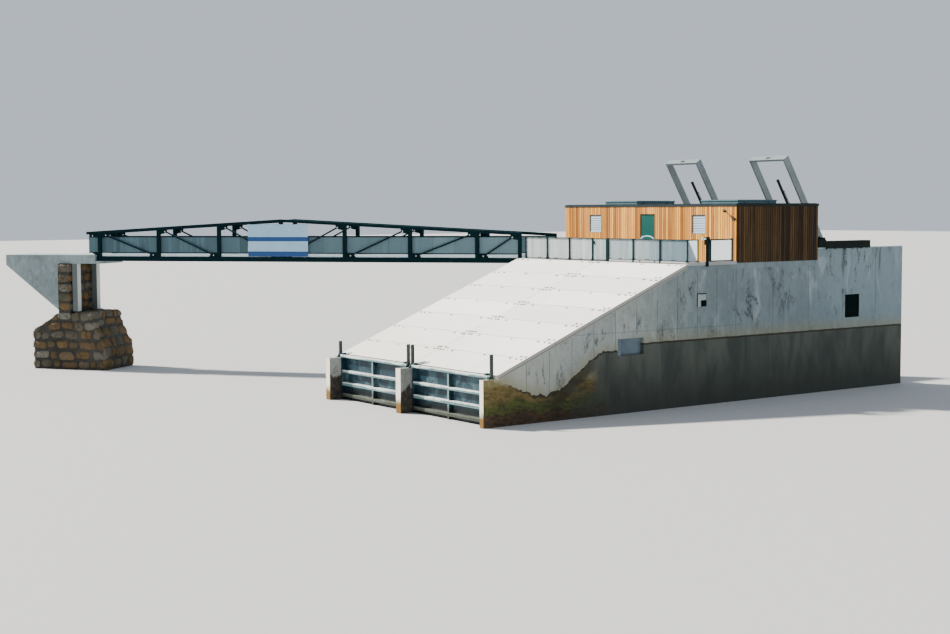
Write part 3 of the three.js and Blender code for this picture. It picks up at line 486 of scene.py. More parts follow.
def wet_foot(s):
    """Silt above the wet line, growth or the pond's dark below it, and a mark along it."""
    away = s.less(s.z, tide_line(s))
    silt = s.times(s.remap(away, 0.0, 0.75, 0.6, 0.0), s.remap(s.x, -13.9, -9.5, 1.0, 0.75))
    s.lay((0.27, 0.235, 0.12), silt)
    murk = s.noise(1.4, 6.0, stretch=0.3, warp=0.5)
    pond = s.tint((0.035, 0.045, 0.040), (0.085, 0.095, 0.080), murk, 0.3, 0.7)
    pond = s.tint((0.028, 0.0336, 0.0272), pond, s.z, 0.2, 2.6, 0.2, 1.0)
    border = s.add(s.x, s.sway(5.0, 0.9, 5.0))
    wetted = s.tint(river_growth(s, away), pond, border, -9.6, -7.6)
    s.wash(wetted, away, -0.04, 0.04, 0.95, 0.0)
    mark = s.times(s.remap(s.size(away), 0.02, 0.06, 0.9, 0.0), s.remap(s.x, -13.2, -12.2))
    s.lay((0.022, 0.016, 0.010), mark)


def top_edges(s):
    """A painted shadow along the joint under the deck's kerb, and a pale rim along the parapet."""
    # Painted shadow: a dark line just under the overhanging edge of the deck slab.
    lip = s.times(s.remap(s.z, 6.055, 6.07), s.remap(s.x, -0.05, -0.02, 1.0, 0.0))
    s.lay(shade(PLANT_BLUE, 0.2), s.times(lip, 0.8))
    rim = s.times(s.remap(s.z, PARAPET_TOP - 0.05, PARAPET_TOP - 0.03), s.remap(s.x, BACK_X, BACK_X + 0.1))
    s.lay((0.60, 0.68, 0.68), s.times(rim, 0.8))


def wall_concrete(name, nose):
    """The near wall: bluish towards the pond, paler downstream, smeared, and wet at its foot."""
    s = Surface(name, roughness=0.88, shine=0.3)
    height = mottled(s, PLANT_BLUE, shade(PLANT_BLUE, 0.76), 0.5)
    upstream = s.colour
    mottled(s, PLANT_GREY, shade(PLANT_GREY, 0.78), 0.5)
    s.wash(upstream, s.x, -9.0, -0.5)
    s.wash((0.27, 0.375, 0.42), s.x, 3.0, 9.0, 0.0, 0.45)
    bloom = s.noise(1.3, 7.0, stretch=0.35, warp=0.5)
    s.wash((0.42, 0.50, 0.52), bloom, 0.54, 0.7, 0.0, 0.55)
    s.wash((0.50, 0.50, 0.42), s.x, -12.5, -9.5, 0.55, 0.0)
    panel = s.hashed(s.maths("DIVIDE", s.x, FORM_PITCH), 3.0)
    s.lay(shade(PLANT_BLUE, 0.68), s.times(panel, 0.25))
    s.lay(shade(PLANT_BLUE, 0.3), smears(s))
    seam, holes = formwork(s)
    s.lay(shade(PLANT_BLUE, 0.25), s.times(seam, 0.7))
    s.lay(shade(PLANT_BLUE, 0.45), holes)
    height = s.less(height, s.times(s.add(seam, holes), 1.2))
    wet_foot(s)
    top_edges(s)
    nose_face(s, nose)
    return s.finish(height, 0.006, 0.5)


def pier_concrete(name, nose):
    """The walls seen from inside the outlet: grey above, with a ragged dark stain over the wet foot."""
    s = Surface(name, roughness=0.88, shine=0.3)
    height = mottled(s, (0.37, 0.375, 0.34), (0.21, 0.215, 0.20), 0.6)
    ragged = s.add(s.z, s.sway(1.6, 2.2, 6.0, stretch=0.4, warp=0.6))
    stain = s.tint((0.014, 0.012, 0.010), (0.060, 0.042, 0.028), s.noise(5.0, 5.0), 0.42, 0.66)
    s.wash(stain, ragged, 1.0, 1.25, 0.93, 0.0)
    nose_face(s, nose)
    return s.finish(height, 0.006, 0.5)


def deck_concrete():
    """Pale kerb at the railing, and under the powerhouse the same concrete as the walls."""
    s = Surface("Deck concrete", roughness=0.88, shine=0.3)
    height = mottled(s, (0.42, 0.44, 0.43), (0.32, 0.34, 0.34), 0.25)
    pale = s.colour
    mottled(s, PLANT_BLUE, shade(PLANT_BLUE, 0.76), 0.5)
    side = s.sideways()
    plain = s.most(s.remap(s.x, -0.02, 0.0), s.remap(s.z, 6.235, 6.245, 1.0, 0.0))
    s.colour = s.mix(pale, s.colour, s.times(side, plain))
    return s.finish(height, 0.006, 0.5)


def bank_concrete():
    """The abutment: pale wing and slab, and pillars dark with painted tree shade but for their river faces,
    which are pale as painted sunlight.
    """
    s = Surface("Abutment concrete", roughness=0.9, shine=0.3)
    height = mottled(s, (0.31, 0.38, 0.395), (0.20, 0.25, 0.265), 0.4)
    foot = s.noise(1.5, 5.0, warp=0.5)
    s.wash((0.12, 0.125, 0.10), foot, 0.5, 0.75, 0.0, 0.5)
    along = s.less(s.run(BRIDGE_ALONG), BRIDGE_ORIGIN)
    pillar = s.times(s.remap(s.z, 5.88, 5.90, 1.0, 0.0), s.remap(along, 25.76, 25.8, 1.0, 0.0))
    # Painted light and shade: river faces pale as if sunlit, the pillars' other faces dark as if in the
    # trees' shade.
    river = s.remap(s.facing((-BRIDGE_ALONG[0], -BRIDGE_ALONG[1], 0)), 0.6, 0.8)
    pillar_light_and_shade = s.mix((0.10, 0.115, 0.11), (0.62, 0.66, 0.64), river)
    s.lay(pillar_light_and_shade, s.times(pillar, 0.85))
    return s.finish(height, 0.006, 0.5)


def cover_concrete():
    s = Surface("Precast concrete", roughness=0.8, shine=0.3)
    along = s.add(
        s.times(s.less(COVER_HEAD_X, s.x), math.cos(COVER_SLOPE)),
        s.times(s.less(DECK_Z, s.z), math.sin(COVER_SLOPE)))
    depth = s.add(
        s.times(s.less(s.x, COVER_HEAD_X), math.sin(COVER_SLOPE)),
        s.times(s.less(DECK_Z, s.z), math.cos(COVER_SLOPE)))
    slab = s.hashed(s.maths("DIVIDE", along, COVER_PITCH), s.maths("GREATER_THAN", s.y, 0.0))
    s.colour = s.mix((0.80, 0.785, 0.745), (0.95, 0.945, 0.925), slab)
    cloud = s.noise(0.5, 6.0, warp=0.8)
    s.wash((0.74, 0.71, 0.65), cloud, 0.5, 0.75, 0.0, 0.4)
    lower = s.remap(s.add(s.z, s.times(s.y, -0.15)), 1.8, 4.0, 0.5, 0.0)
    s.lay((0.80, 0.71, 0.60), lower)
    middle = s.remap(s.size(s.y), 0.012, 0.035, 1.0, 0.0)
    seam = s.most(s.lines(along, COVER_PITCH, 0.03), middle)
    broken = s.remap(s.noise(1.7, 3.0), 0.35, 0.6, 0.25, 1.0)
    s.lay((0.24, 0.22, 0.18), s.times(seam, s.times(broken, 0.7)))
    dirt = s.noise(3.2, 6.0, stretch=(0.35, 1.0, 0.35), warp=0.6)
    s.wash((0.55, 0.52, 0.46), dirt, 0.62, 0.76, 0.0, 0.35)
    # Down the slabs' side edges: a pale band, then a dark band of painted shadow under the overhang, then
    # the walls' grey.
    side = s.remap(s.size(s.y), COVER_HALF - 0.012, COVER_HALF - 0.004)
    rim = s.tint((0.36, 0.35, 0.31), (0.07, 0.07, 0.065), depth, 0.128, 0.134)
    rim = s.tint(rim, shade(PLANT_GREY, 0.8), depth, 0.155, 0.165)
    s.lay(rim, s.times(side, 0.95))
    grain = s.noise(45.0, 3.0)
    s.wash((0.6, 0.58, 0.54), grain, 0.6, 0.8, 0.0, 0.3)
    return s.finish(grain, 0.002, 0.4)


def timber(name, dark, light):
    """Upright boards that differ from one to the next, with grain along them."""
    s = Surface(name, roughness=0.7, shine=0.25)
    grain = s.noise(1.0, 6.0, stretch=(14.0, 14.0, 0.8), warp=0.6)
    board = s.tone()
    s.colour = s.mix(dark, light, board)
    other = s.hashed(s.times(board, 997.0))
    s.wash(shade(light, 1.25), other, 0.65, 0.95, 0.0, 0.5)
    s.wash(shade(dark, 0.5), other, 0.12, 0.28, 0.5, 0.0)
    s.wash(shade(dark, 0.5), grain, 0.5, 0.8, 0.0, 0.8)
    weather = s.noise(0.7, 4.0, stretch=(2, 2, 0.5))
    s.wash(shade(dark, 0.7), weather, 0.55, 0.8, 0.0, 0.2)
    knot = s.cells(2.2, stretch=(3.0, 3.0, 0.8))
    s.wash(shade(dark, 0.35), knot, 0.05, 0.11, 0.7, 0.0)
    return s.finish(grain, 0.002, 0.5, roughness=s.remap(grain, 0.3, 0.7, 0.6, 0.85))


def painted(name, colour, worn, roughness=0.42, metallic=0.0, shine=0.5, painted_top_light=None):
    """Paint that is worn in clouds, with a paler colour as painted light on what faces upwards where its
    colour is given.
    """
    s = Surface(name, roughness, metallic, shine)
    cloud = s.noise(1.3, 6.0, warp=0.5)
    fine = s.noise(26.0, 3.0)
    s.colour = s.tint(colour, worn, cloud, 0.42, 0.78, 0.0, 0.55)
    s.wash(shade(colour, 0.55), fine, 0.6, 0.78, 0.0, 0.4)
    # Painted light: what faces upwards gets a paler colour.
    if painted_top_light:
        s.wash(painted_top_light, s.facing((0, 0, 1)), 0.7, 0.95, 0.0, 0.9)
    rough = s.remap(cloud, 0.3, 0.8, roughness - 0.08, roughness + 0.18)
    return s.finish(fine, 0.0008, 0.35, roughness=rough)


def roof_sheet():
    """Dark sheet, with painted shade making it nearly black along the two ends of the roof."""
    s = Surface("Roof sheet and painted shade", 0.5, 0.0, 0.15)
    cloud = s.noise(1.3, 6.0, warp=0.5)
    s.colour = s.tint((0.022, 0.031, 0.036), (0.035, 0.047, 0.053), cloud, 0.42, 0.78, 0.0, 0.55)
    # Painted shade: faces that look to either side are laid nearly black.
    end = s.sideways()
    s.lay((0.007, 0.011, 0.012), end)
    return s.finish(s.noise(26.0, 3.0), 0.0008, 0.35, roughness=s.remap(cloud, 0.3, 0.8, 0.42, 0.68))


def gate_beams(s, cloud, fine, level):
    """Beams with painted sunlight along their tops, grime, and slime near the water."""
    grime = s.noise(3.0, 5.0, stretch=0.3)
    painted_sun_band = s.remap(s.noise(0.5, 3.0), 0.45, 0.6, 0.035, 0.09)
    s.colour = s.tint((0.15, 0.26, 0.27), (0.10, 0.18, 0.195), cloud, 0.4, 0.7)
    # Painted sunlight: a pale band along the top of each beam's front.
    for top in GATE_BEAM_TOPS:
        down = s.size(s.less(top, s.z))
        s.wash((0.70, 0.76, 0.73), down, painted_sun_band, s.add(painted_sun_band, 0.012), 1.0, 0.0)
    s.wash((0.16, 0.21, 0.20), fine, 0.6, 0.78, 0.0, 0.4)
    s.wash((0.12, 0.14, 0.12), grime, 0.52, 0.72, 0.0, 0.6)
    s.wash((0.036, 0.040, 0.020), level, 0.05, 0.4, 0.9, 0.0)


def gate_painted_shade(s):
    """Where painted shade goes: 1 on the skin, the webs, the end posts and under the top beam, else 0."""
    from_centre = s.size(s.less(s.size(s.y), BAY_CENTRE))
    below_top = s.remap(s.z, GATE_TOP - 0.115, GATE_TOP - 0.11, 1.0, 0.0)
    end_post = s.remap(from_centre, BAY_HALF - GATE_STILE - 0.015, BAY_HALF - GATE_STILE - 0.01)
    dark = s.times(s.most(end_post, s.sideways()), below_top)
    under = s.times(s.remap(s.z, GATE_TOP - 0.16, GATE_TOP - 0.155), below_top)
    behind = s.remap(s.x, GATE_BACK - 0.032, GATE_BACK - 0.028)
    return s.most(behind, s.most(dark, under))


def gate_steel():
    """Skin and webs dark as painted shade, with pale beams before them."""
    s = Surface("Gate steel", 0.5, 0.0, 0.3)
    cloud = s.noise(1.6, 6.0, warp=0.5)
    fine = s.noise(24.0, 3.0)
    level = s.less(s.z, s.times(s.noise(2.6, 5.0), 0.5))
    skin = s.tint((0.005, 0.026, 0.040), (0.060, 0.115, 0.135), cloud, 0.42, 0.7)
    skin = s.tint(skin, (0.005, 0.008, 0.008), level, 0.0, 0.55, 0.9, 0.0)
    gate_beams(s, cloud, fine, level)
    # Painted shade: the dark skin colour is laid on the skin, the webs, the end posts and under the top
    # beam.
    s.lay(skin, gate_painted_shade(s))
    return s.finish(fine, 0.001, 0.4, roughness=s.remap(cloud, 0.3, 0.8, 0.4, 0.65))


def galvanised(name, tint=(0.34, 0.40, 0.44), metallic=0.35):
    s = Surface(name, 0.5, metallic, 0.3)
    spangle = s.cells(22.0, output="Color")
    cloud = s.noise(1.1, 5.0, warp=0.4)
    s.colour = s.tint(tint, shade(tint, 0.82), cloud, 0.35, 0.7)
    bright = s.times(s.hashed(s.times(spangle, 19.0)), 0.22)
    s.lay(shade(tint, 1.3), bright)
    streak = s.noise(2.5, 5.0, stretch=0.25)
    s.wash(shade(tint, 0.6), streak, 0.56, 0.75, 0.0, 0.45)
    rough = s.remap(cloud, 0.3, 0.7, 0.38, 0.58)
    return s.finish(s.noise(30.0, 3.0), 0.0006, 0.3, roughness=rough)


def perforated(name, light, dark, direction):
    """Sheet with rows of small holes and upright streaks. Returns its surface and holes."""
    s = Surface(name, 0.55, 0.1, 0.25)
    run = s.run(direction)
    s.colour = s.mix(dark, light, s.tone())
    streak = s.noise(1.0, 5.0, stretch=(3.4, 3.4, 0.25), warp=0.3)
    s.wash(shade(light, 1.25), streak, 0.5, 0.7, 0.0, 0.7)
    s.wash(shade(dark, 0.75), streak, 0.28, 0.47, 0.6, 0.0)
    holes = s.times(*[s.lines(value, HOLE_PITCH, HOLE_PITCH * 0.34) for value in (run, s.z)])
    return s, holes


def frosted_panel(name, light, dark):
    """White panel that the sun shines through from behind."""
    s = Surface(name, 0.5, 0.0, 0.3)
    s.shader.inputs["Subsurface Weight"].default_value = 0.9
    s.shader.inputs["Subsurface Scale"].default_value = 0.12
    s.shader.inputs["Subsurface Radius"].default_value = (1.0, 1.0, 1.0)
    s.colour = s.tint(light, dark, s.noise(2.0, 5.0, warp=0.5), 0.4, 0.7)
    return s.finish(s.noise(40.0, 3.0), 0.0005, 0.3)


def rail_sheet():
    """Pale sheet, bluer towards the near side."""
    s, holes = perforated("Railing sheet", (0.45, 0.49, 0.49), (0.26, 0.32, 0.345), (0, 1))
    s.wash((0.055, 0.125, 0.165), s.y, -6.4, -0.6, 0.88, 0.0)
    s.lay((0.12, 0.15, 0.155), s.times(holes, 0.6))
    return s.finish(s.less(0.0, holes), 0.002, 0.6)


def bridge_sheet():
    """Blue-grey sheet, paler towards the plant."""
    s, holes = perforated("Bridge sheet", (0.095, 0.17, 0.205), (0.055, 0.105, 0.13), BRIDGE_ALONG)
    along = s.less(s.run(BRIDGE_ALONG), BRIDGE_ORIGIN)
    s.wash((0.20, 0.31, 0.35), along, 1.0, 18.0, 0.62, 0.0)
    s.lay((0.022, 0.045, 0.055), s.times(holes, 0.6))
    return s.finish(s.less(0.0, holes), 0.002, 0.6)


def banner_cloth():
    """Coated white cloth, its white given a blue-grey as painted shade, with a blue band across it and
    another at its foot, and no words.
    """
    s = Surface("Banner cloth", 0.6, 0.0, 0.3)
    # Painted shade: the cloth's white is given as a blue-grey.
    white = s.mix((0.28, 0.50, 0.68), (0.46, 0.68, 0.84), s.noise(1.2, 4.0, warp=0.4))
    low, high = UPPER_BAND
    upper = s.times(s.remap(s.z, low, low + 0.005), s.remap(s.z, high, high + 0.005, 1.0, 0.0))
    band = s.most(s.remap(s.z, LOWER_BAND_TOP, LOWER_BAND_TOP + 0.005, 1.0, 0.0), upper)
    s.colour = s.mix(white, (0.018, 0.075, 0.23), band)
    weave = s.add(s.noise(320.0, 2.0), s.noise(6.0, 3.0))
    return s.finish(weave, 0.001, 0.3)


def stone():
    s = Surface("Field stone in painted shade", 0.9, 0.0, 0.2)
    tone = s.tone()
    hue = s.hashed(s.times(tone, 613.0))
    # The stones' colours are kept dark throughout as painted shade of trees.
    s.colour = s.tint((0.150, 0.092, 0.040), (0.110, 0.098, 0.078), hue, 0.25, 0.6)
    s.wash((0.20, 0.185, 0.155), hue, 0.7, 0.95, 0.0, 0.9)
    s.colour = s.tint((0.055, 0.045, 0.030), s.colour, tone, 0.0, 1.0, 0.45)
    rough = s.noise(5.0, 7.0, warp=0.8)
    stain = s.noise(1.2, 5.0, warp=0.5)
    s.wash((0.04, 0.036, 0.026), rough, 0.5, 0.68, 0.0, 0.7)
    s.wash((0.035, 0.045, 0.018), stain, 0.52, 0.7, 0.0, 0.6)
    return s.finish(s.add(rough, s.times(s.noise(30.0, 4.0), 0.25)), 0.03, 0.9)


PLANT_BLUE = (0.215, 0.275, 0.295)
PLANT_GREY = (0.41, 0.44, 0.405)

NEAR_WALL = wall_concrete("Near wall concrete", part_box("near_wall")[0].x)
FAR_WALL = pier_concrete("Far wall concrete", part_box("far_wall")[0].x)
PIER = pier_concrete("Pier concrete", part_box("middle_wall")[0].x)
INNER = concrete("Inner concrete", (0.33, 0.34, 0.33), (0.22, 0.23, 0.225), 0.4, green=1.4)
DECK = deck_concrete()
BANK = bank_concrete()
LAMP_PLATE = concrete("Lamp plate", (0.42, 0.48, 0.48), (0.33, 0.38, 0.38), 0.4)
# Mortar kept dark throughout as painted shade of trees, like the stones.
MORTAR_IN_PAINTED_SHADE = concrete("Mortar", (0.060, 0.060, 0.052), (0.026, 0.026, 0.022), 0.5)
POCKET = concrete("Pocket mortar", (0.045, 0.042, 0.036), (0.022, 0.020, 0.017), 0.5)
COVER = cover_concrete()
LARCH = timber("Larch boards", (0.42, 0.14, 0.020), (1.0, 0.46, 0.085))
# The side boards are a far darker copy of the larch: painted shade over weathering.
LARCH_IN_PAINTED_SHADE = timber("Shaded larch boards", (0.012, 0.006, 0.0015), (0.082, 0.044, 0.012))
LARCH_REAR = timber("Rear larch boards", (0.20, 0.09, 0.035), (0.32, 0.16, 0.07))
BACKING = painted("Board backing", (0.022, 0.011, 0.006), (0.03, 0.016, 0.009), 0.9, shine=0.1)
# The bridge's upward faces get a paler teal as painted light.
BRIDGE_GREEN = painted(
    "Bridge paint", (0.001, 0.013, 0.017), (0.003, 0.020, 0.025), 0.55, shine=0.05, painted_top_light=(0.05, 0.14, 0.155))
POST_GREEN = painted("Post paint", (0.002, 0.024, 0.024), (0.006, 0.036, 0.035), 0.5, shine=0.1)
GATE_STEEL_WITH_PAINTED_LIGHT_AND_SHADE = gate_steel()
SLOT_STEEL = painted("Gate post steel", (0.050, 0.064, 0.062), (0.09, 0.105, 0.10), 0.5, 0.1, 0.2)
BRACKET = painted("Bracket paint", (0.010, 0.050, 0.058), (0.03, 0.085, 0.09), 0.5, shine=0.2)
ROOF_AND_PAINTED_SHADE = roof_sheet()
HATCH = painted("Hatch sheet", (0.085, 0.17, 0.195), (0.12, 0.215, 0.24), 0.45, shine=0.3)
DOOR = painted("Door paint", (0.005, 0.082, 0.070), (0.008, 0.10, 0.086), 0.45, shine=0.2)
GALVANISED = galvanised("Galvanised steel")
FRAME_STEEL = galvanised("Weathered steel", (0.215, 0.255, 0.265), 0.2)
PALE_STEEL = galvanised("Pale steel", (0.30, 0.42, 0.52), 0.1)
HOOP_STEEL = galvanised("Hoop steel", (0.50, 0.66, 0.78), 0.1)
FLAP_STEEL = galvanised("Flap steel", (0.12, 0.17, 0.21), 0.1)
PIN = galvanised("Pin steel", (0.66, 0.72, 0.74), 0.1)
BLADE = galvanised("Louvre blades", (0.42, 0.52, 0.60), 0.1)
VENT_FRAME = galvanised("Louvre frame", (0.24, 0.31, 0.35), 0.1)
BLACK = painted("Cylinder paint", (0.004, 0.006, 0.009), (0.010, 0.012, 0.015), 0.4, shine=0.3)
SCREW = painted("Screw paint", (0.05, 0.09, 0.13), (0.09, 0.12, 0.15), 0.45)
STONE = stone()
WHITE = frosted_panel("White panel", (0.66, 0.86, 0.95), (0.58, 0.79, 0.89))
PANEL_IN_PAINTED_SHADE = frosted_panel("Shaded panel", (0.20, 0.34, 0.46), (0.16, 0.29, 0.40))
DUCT = painted("Duct paint", (0.002, 0.006, 0.006), (0.006, 0.012, 0.012), 0.5, shine=0.1)
SHUTTER = painted("Shutter paint", (0.001, 0.007, 0.007), (0.002, 0.010, 0.010), 0.7, shine=0.03)
RAIL_SHEET = rail_sheet()
BRIDGE_SHEET = bridge_sheet()
BANNER = banner_cloth()

# Each surface with how its nodes' names start, and post paint for the others
NODE_SURFACES = (
    (COVER, "cover_row"),
    (NEAR_WALL, "near_wall"),
    (FAR_WALL, "far_wall"),
    (PIER, "middle_wall"),
    (INNER, "trough", "intake_wall"),
    (DECK, "deck_slab", "intake_deck"),
    (BACKING, "front_wall", "near_side_wall", "far_side_wall", "rear_wall"),
    (HATCH, "roof_hatch"),
    (ROOF_AND_PAINTED_SHADE, "roof"),
    (DOOR, "door"),
    (GATE_STEEL_WITH_PAINTED_LIGHT_AND_SHADE, "outlet_gate"),
    (SLOT_STEEL, "gate_post"),
    (SCREW, "screw"),
    (BLACK, "hydraulic_cylinder"),
    (FRAME_STEEL, "intake_gate", "gate_guide"),
    (FLAP_STEEL, "drain_flap"),
    (HOOP_STEEL, "deck_hoop"),
    (DUCT, "control_post", "wall_duct"),
    (SHUTTER, "wall_shutter"),
    (BRIDGE_GREEN, "bridge_truss"),
    (GALVANISED, "bridge_deck"),
    (BANK, "bridge_abutment"),
    (POST_GREEN, ""),
)

for name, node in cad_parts.items():
    fitting = [surface for surface, *starts in NODE_SURFACES if name.startswith(tuple(starts))]
    node.data.materials.clear()
    node.data.materials.append(fitting[0])


# Powerhouse


def beside_hole(part, hole):
    """What a hole leaves of an upright board, both given as their low and high across and then up."""
    low, high, foot, head = part
    hole_low, hole_high, z0, z1 = hole
    if high <= hole_low or low >= hole_high:
        return [part]
    inner = (max(low, hole_low), min(high, hole_high))
    rest = (low, hole_low, foot, head), (hole_high, high, foot, head), (*inner, foot, z0), (*inner, z1, head)
    return [left for left in rest if left[1] - left[0] > 0.012 and left[3] - left[2] > 0.02]


def board_wall(name, surface, face, outward, along, run, slot, holes=()):
    """Upright boards on a wall face. along is 0 for boards set out along X and 1 for Y."""
    chance = random.Random(name)
    shape = Shape()
    count = round((run[1] - run[0]) / BOARD)
    pitch = (run[1] - run[0]) / count
    for i in range(count):
        low = run[0] + i * pitch + BOARD_GAP / 2
        high = low + pitch - BOARD_GAP
        parts = [(low, high, DECK_Z + 0.01, EAVES_Z - 0.004)]
        for hole in holes:
            parts = [left for part in parts for left in beside_hole(part, hole)]
        proud = BOARD_THICK + chance.uniform(-0.003, 0.003)
        depth = (face - outward * 0.001, face + outward * proud)
        tone = chance.random()
        for start, end, z0, z1 in parts:
            lows, highs = [0.0, 0.0, z0], [0.0, 0.0, z1]
            lows[along], highs[along] = start, end
            lows[1 - along], highs[1 - along] = depth
            shape.block(lows, highs, 0.003, tone=tone)
    shape.finish(name, surface, slot=slot)


def make_boards():
    openings = [(side * VENT_Y - VENT_HALF, side * VENT_Y + VENT_HALF, *VENT_Z) for side in (-1, 1)]
    openings.append((DOOR_Y[0] - DOOR_STRIP, DOOR_Y[1] + DOOR_STRIP, 0.0, DOOR_HEAD + DOOR_STRIP))
    width = (-HALF_WIDTH - BOARD_THICK, HALF_WIDTH + BOARD_THICK)
    board_wall("front_boards", LARCH, 0.0, -1, 1, width, "sunlit_boards", openings)
    board_wall("near_side_boards", LARCH_IN_PAINTED_SHADE, -HALF_WIDTH, -1, 0, (0.0, BACK_X), "dark_boards")
    board_wall("far_side_boards", LARCH_IN_PAINTED_SHADE, HALF_WIDTH, 1, 0, (0.0, BACK_X), "dark_boards")
    board_wall("rear_boards", LARCH_REAR, BACK_X, 1, 1, width, "dark_boards")


def make_roof():
    lip = 0.03
    trim = Shape()
    low, high = EAVES_Z - 0.02, ROOF_TOP + 0.012
    ends = (-lip - 0.006, BACK_X + lip + 0.006)
    sides = (-HALF_WIDTH - lip, HALF_WIDTH + lip)
    for side in (-1, 1):
        edge = side * (HALF_WIDTH + lip)
        trim.block((ends[0], edge, low), (ends[1], edge + side * 0.006, high), 0.002)
    for x0, x1 in ((ends[0], -lip), (BACK_X + lip, ends[1])):
        trim.block((x0, sides[0], low), (x1, sides[1], high), 0.002)
    for i in range(-10, 11):
        trim.block((0.0, i * 0.6 - 0.008, ROOF_TOP), (BACK_X, i * 0.6 + 0.008, ROOF_TOP + 0.028), 0.003)
    trim.finish("roof_trim", ROOF_AND_PAINTED_SHADE, slot="roof_metal")
    lids = Shape()
    for side in ("near", "far"):
        a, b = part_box(f"roof_hatch_{side}")
        lids.block((a.x - 0.03, a.y - 0.03, b.z - 0.05), (b.x + 0.03, b.y + 0.03, b.z + 0.008), 0.006)
        middle = (a.y + b.y) / 2
        for k in (-0.8, -0.27, 0.27, 0.8):
            lids.block((a.x, middle + k - 0.02, b.z + 0.004), (b.x, middle + k + 0.02, b.z + 0.022), 0.004)
        for x in (a.x + 0.5, b.x - 0.5):
            lids.rod((x, a.y - 0.045, b.z - 0.09), (x, a.y - 0.045, b.z - 0.02), 0.012)
            lids.block((x - 0.05, a.y - 0.04, b.z - 0.12), (x + 0.05, a.y - 0.002, b.z - 0.03), 0.004)
    lids.finish("hatch_lids", HATCH, slot="roof_metal")


def make_door_fittings():
    handle = Shape()
    lever = 7.37
    handle.block((-0.004, 0.22, lever - 0.15), (0.006, 0.27, lever + 0.09), 0.003)
    handle.rod((0.005, 0.245, lever), (-0.055, 0.245, lever), 0.011)
    handle.rod((-0.05, 0.252, lever), (-0.05, 0.115, lever), 0.010)
    handle.block((-0.002, -0.60, 6.33), (0.006, 0.27, 6.50), 0.002)
    handle.finish("door_handle", GALVANISED, body="door", slot="galvanised")
    frame_strip = Shape()
    low, high = DOOR_Y
    for y0, y1, z0, z1 in (
        (low - DOOR_STRIP, low + 0.004, DECK_Z + 0.01, DOOR_HEAD + DOOR_STRIP),
        (high - 0.004, high + DOOR_STRIP, DECK_Z + 0.01, DOOR_HEAD + DOOR_STRIP),
        (low + 0.004, high - 0.004, DOOR_HEAD - 0.004, DOOR_HEAD + DOOR_STRIP),
    ):
        frame_strip.block((-0.024, y0, z0), (-0.001, y1, z1), 0.003)
    frame_strip.finish("door_frame", POST_GREEN, slot="door_paint")


def make_vents():
    """Louvres of broad overlapping blades in a thin frame, whose two sides in shade are dark strips of
    painted shadow.
    """
    rim = 0.035
    for side, way in SIDES:
        low = way * VENT_Y - VENT_HALF + 0.004
        high = way * VENT_Y + VENT_HALF - 0.004
        z0, z1 = VENT_Z[0] + 0.004, VENT_Z[1] - 0.004
        bars, shades, blades = Shape(), Shape(), Shape()
        for strip, y0, y1, a, b in (
            (bars, low, low + rim, z0, z1),
            (shades, high - rim, high, z0, z1),
            (bars, low + rim - 0.001, high - rim + 0.001, z0, z0 + rim),
            (shades, low + rim - 0.001, high - rim + 0.001, z1 - rim, z1),
        ):
            strip.block((-0.02, y0, a), (0.06, y1, b), 0.003)
        bars.block((0.045, low + 0.01, z0 + 0.01), (0.055, high - 0.01, z1 - 0.01), 0.002)
        pitch = (z1 - z0 - 2 * rim) / VENT_BLADES
        reach = pitch * 0.56
        left, right = low + rim - 0.002, high - rim + 0.002
        for i in range(VENT_BLADES):
            z = z0 + rim + (i + 0.5) * pitch
            blades.block((0.008, left, z - reach), (0.014, right, z + reach), 0.002, VENT_BLADE_TURN)
        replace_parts(blades.finish(f"vent_blades_{side}", BLADE, slot="galvanised"), f"vent_{side}")
        bars.finish(f"vent_frame_{side}", VENT_FRAME, slot="galvanised")
        # The dark jamb and head are painted shadow, in the near-black roof colour.
        shades.finish(f"vent_painted_shadow_{side}", ROOF_AND_PAINTED_SHADE, slot="galvanised")


def make_wall_lamp():
    """The lamp on a bent arm at the near end of the front wall."""
    lamp = Shape()
    lamp.block((-0.045, -6.06, 8.22), (-0.014, -5.98, 8.34), 0.006)
    path = [(-0.03, -6.02, 8.29), (-0.14, -5.92, 8.40), (-0.20, -5.78, 8.52), (-0.21, -5.64, 8.62)]
    lamp.tube(path, 0.016, 0.017, 10)
    lamp.rod((-0.21, -5.64, 8.62), (-0.215, -5.50, 8.665), 0.05, 14, tip=0.075)
    lamp.ball((-0.216, -5.49, 8.667), 0.07, (0.9, 0.4, 0.9))
    lamp.finish("wall_lamp", BLACK, slot="cylinder_paint", smooth=True)


# Railing


def base_plate(shape, x, y, z, size=0.16):
    half = size / 2
    shape.block((x - half, y - half, z), (x + half, y + half, z + 0.012), 0.003)
    for sx, sy in product((-1, 1), repeat=2):
        shape.bolt((x + sx * (half - 0.025), y + sy * (half - 0.025), z + 0.012), (0, 0, 1), 0.009)


def rail_post(shape, x, y, low):
    shape.block((x - 0.03, y - 0.03, low), (x + 0.03, y + 0.03, RAIL_TOP), 0.006)
    base_plate(shape, x, y, low)


def rail_sheets(sheets, trims, x, posts, low, chance):
    """Two sheets in each bay, which run behind the posts, with a bottom channel and clips."""
    face = x + 0.031
    for a, b in zip(posts, posts[1:]):
        split = a + (b - a) * chance.uniform(0.36, 0.62)
        for y0, y1 in ((a + 0.006, split - 0.003), (split + 0.003, b - 0.006)):
            sheets.block((face, y0, low), (face + 0.006, y1, RAIL_TOP - 0.035), 0.001, tone=chance.random())
        for y in (a + 0.1, split - 0.07, split + 0.07, b - 0.1):
            for z in (low + 0.01, RAIL_TOP - 0.07):
                trims.block((x + 0.004, y - 0.02, z), (face + 0.001, y + 0.02, z + 0.045), 0.003)
        trims.block((x + 0.006, a + 0.03, low - 0.012), (face + 0.014, b - 0.03, low + 0.012), 0.003)


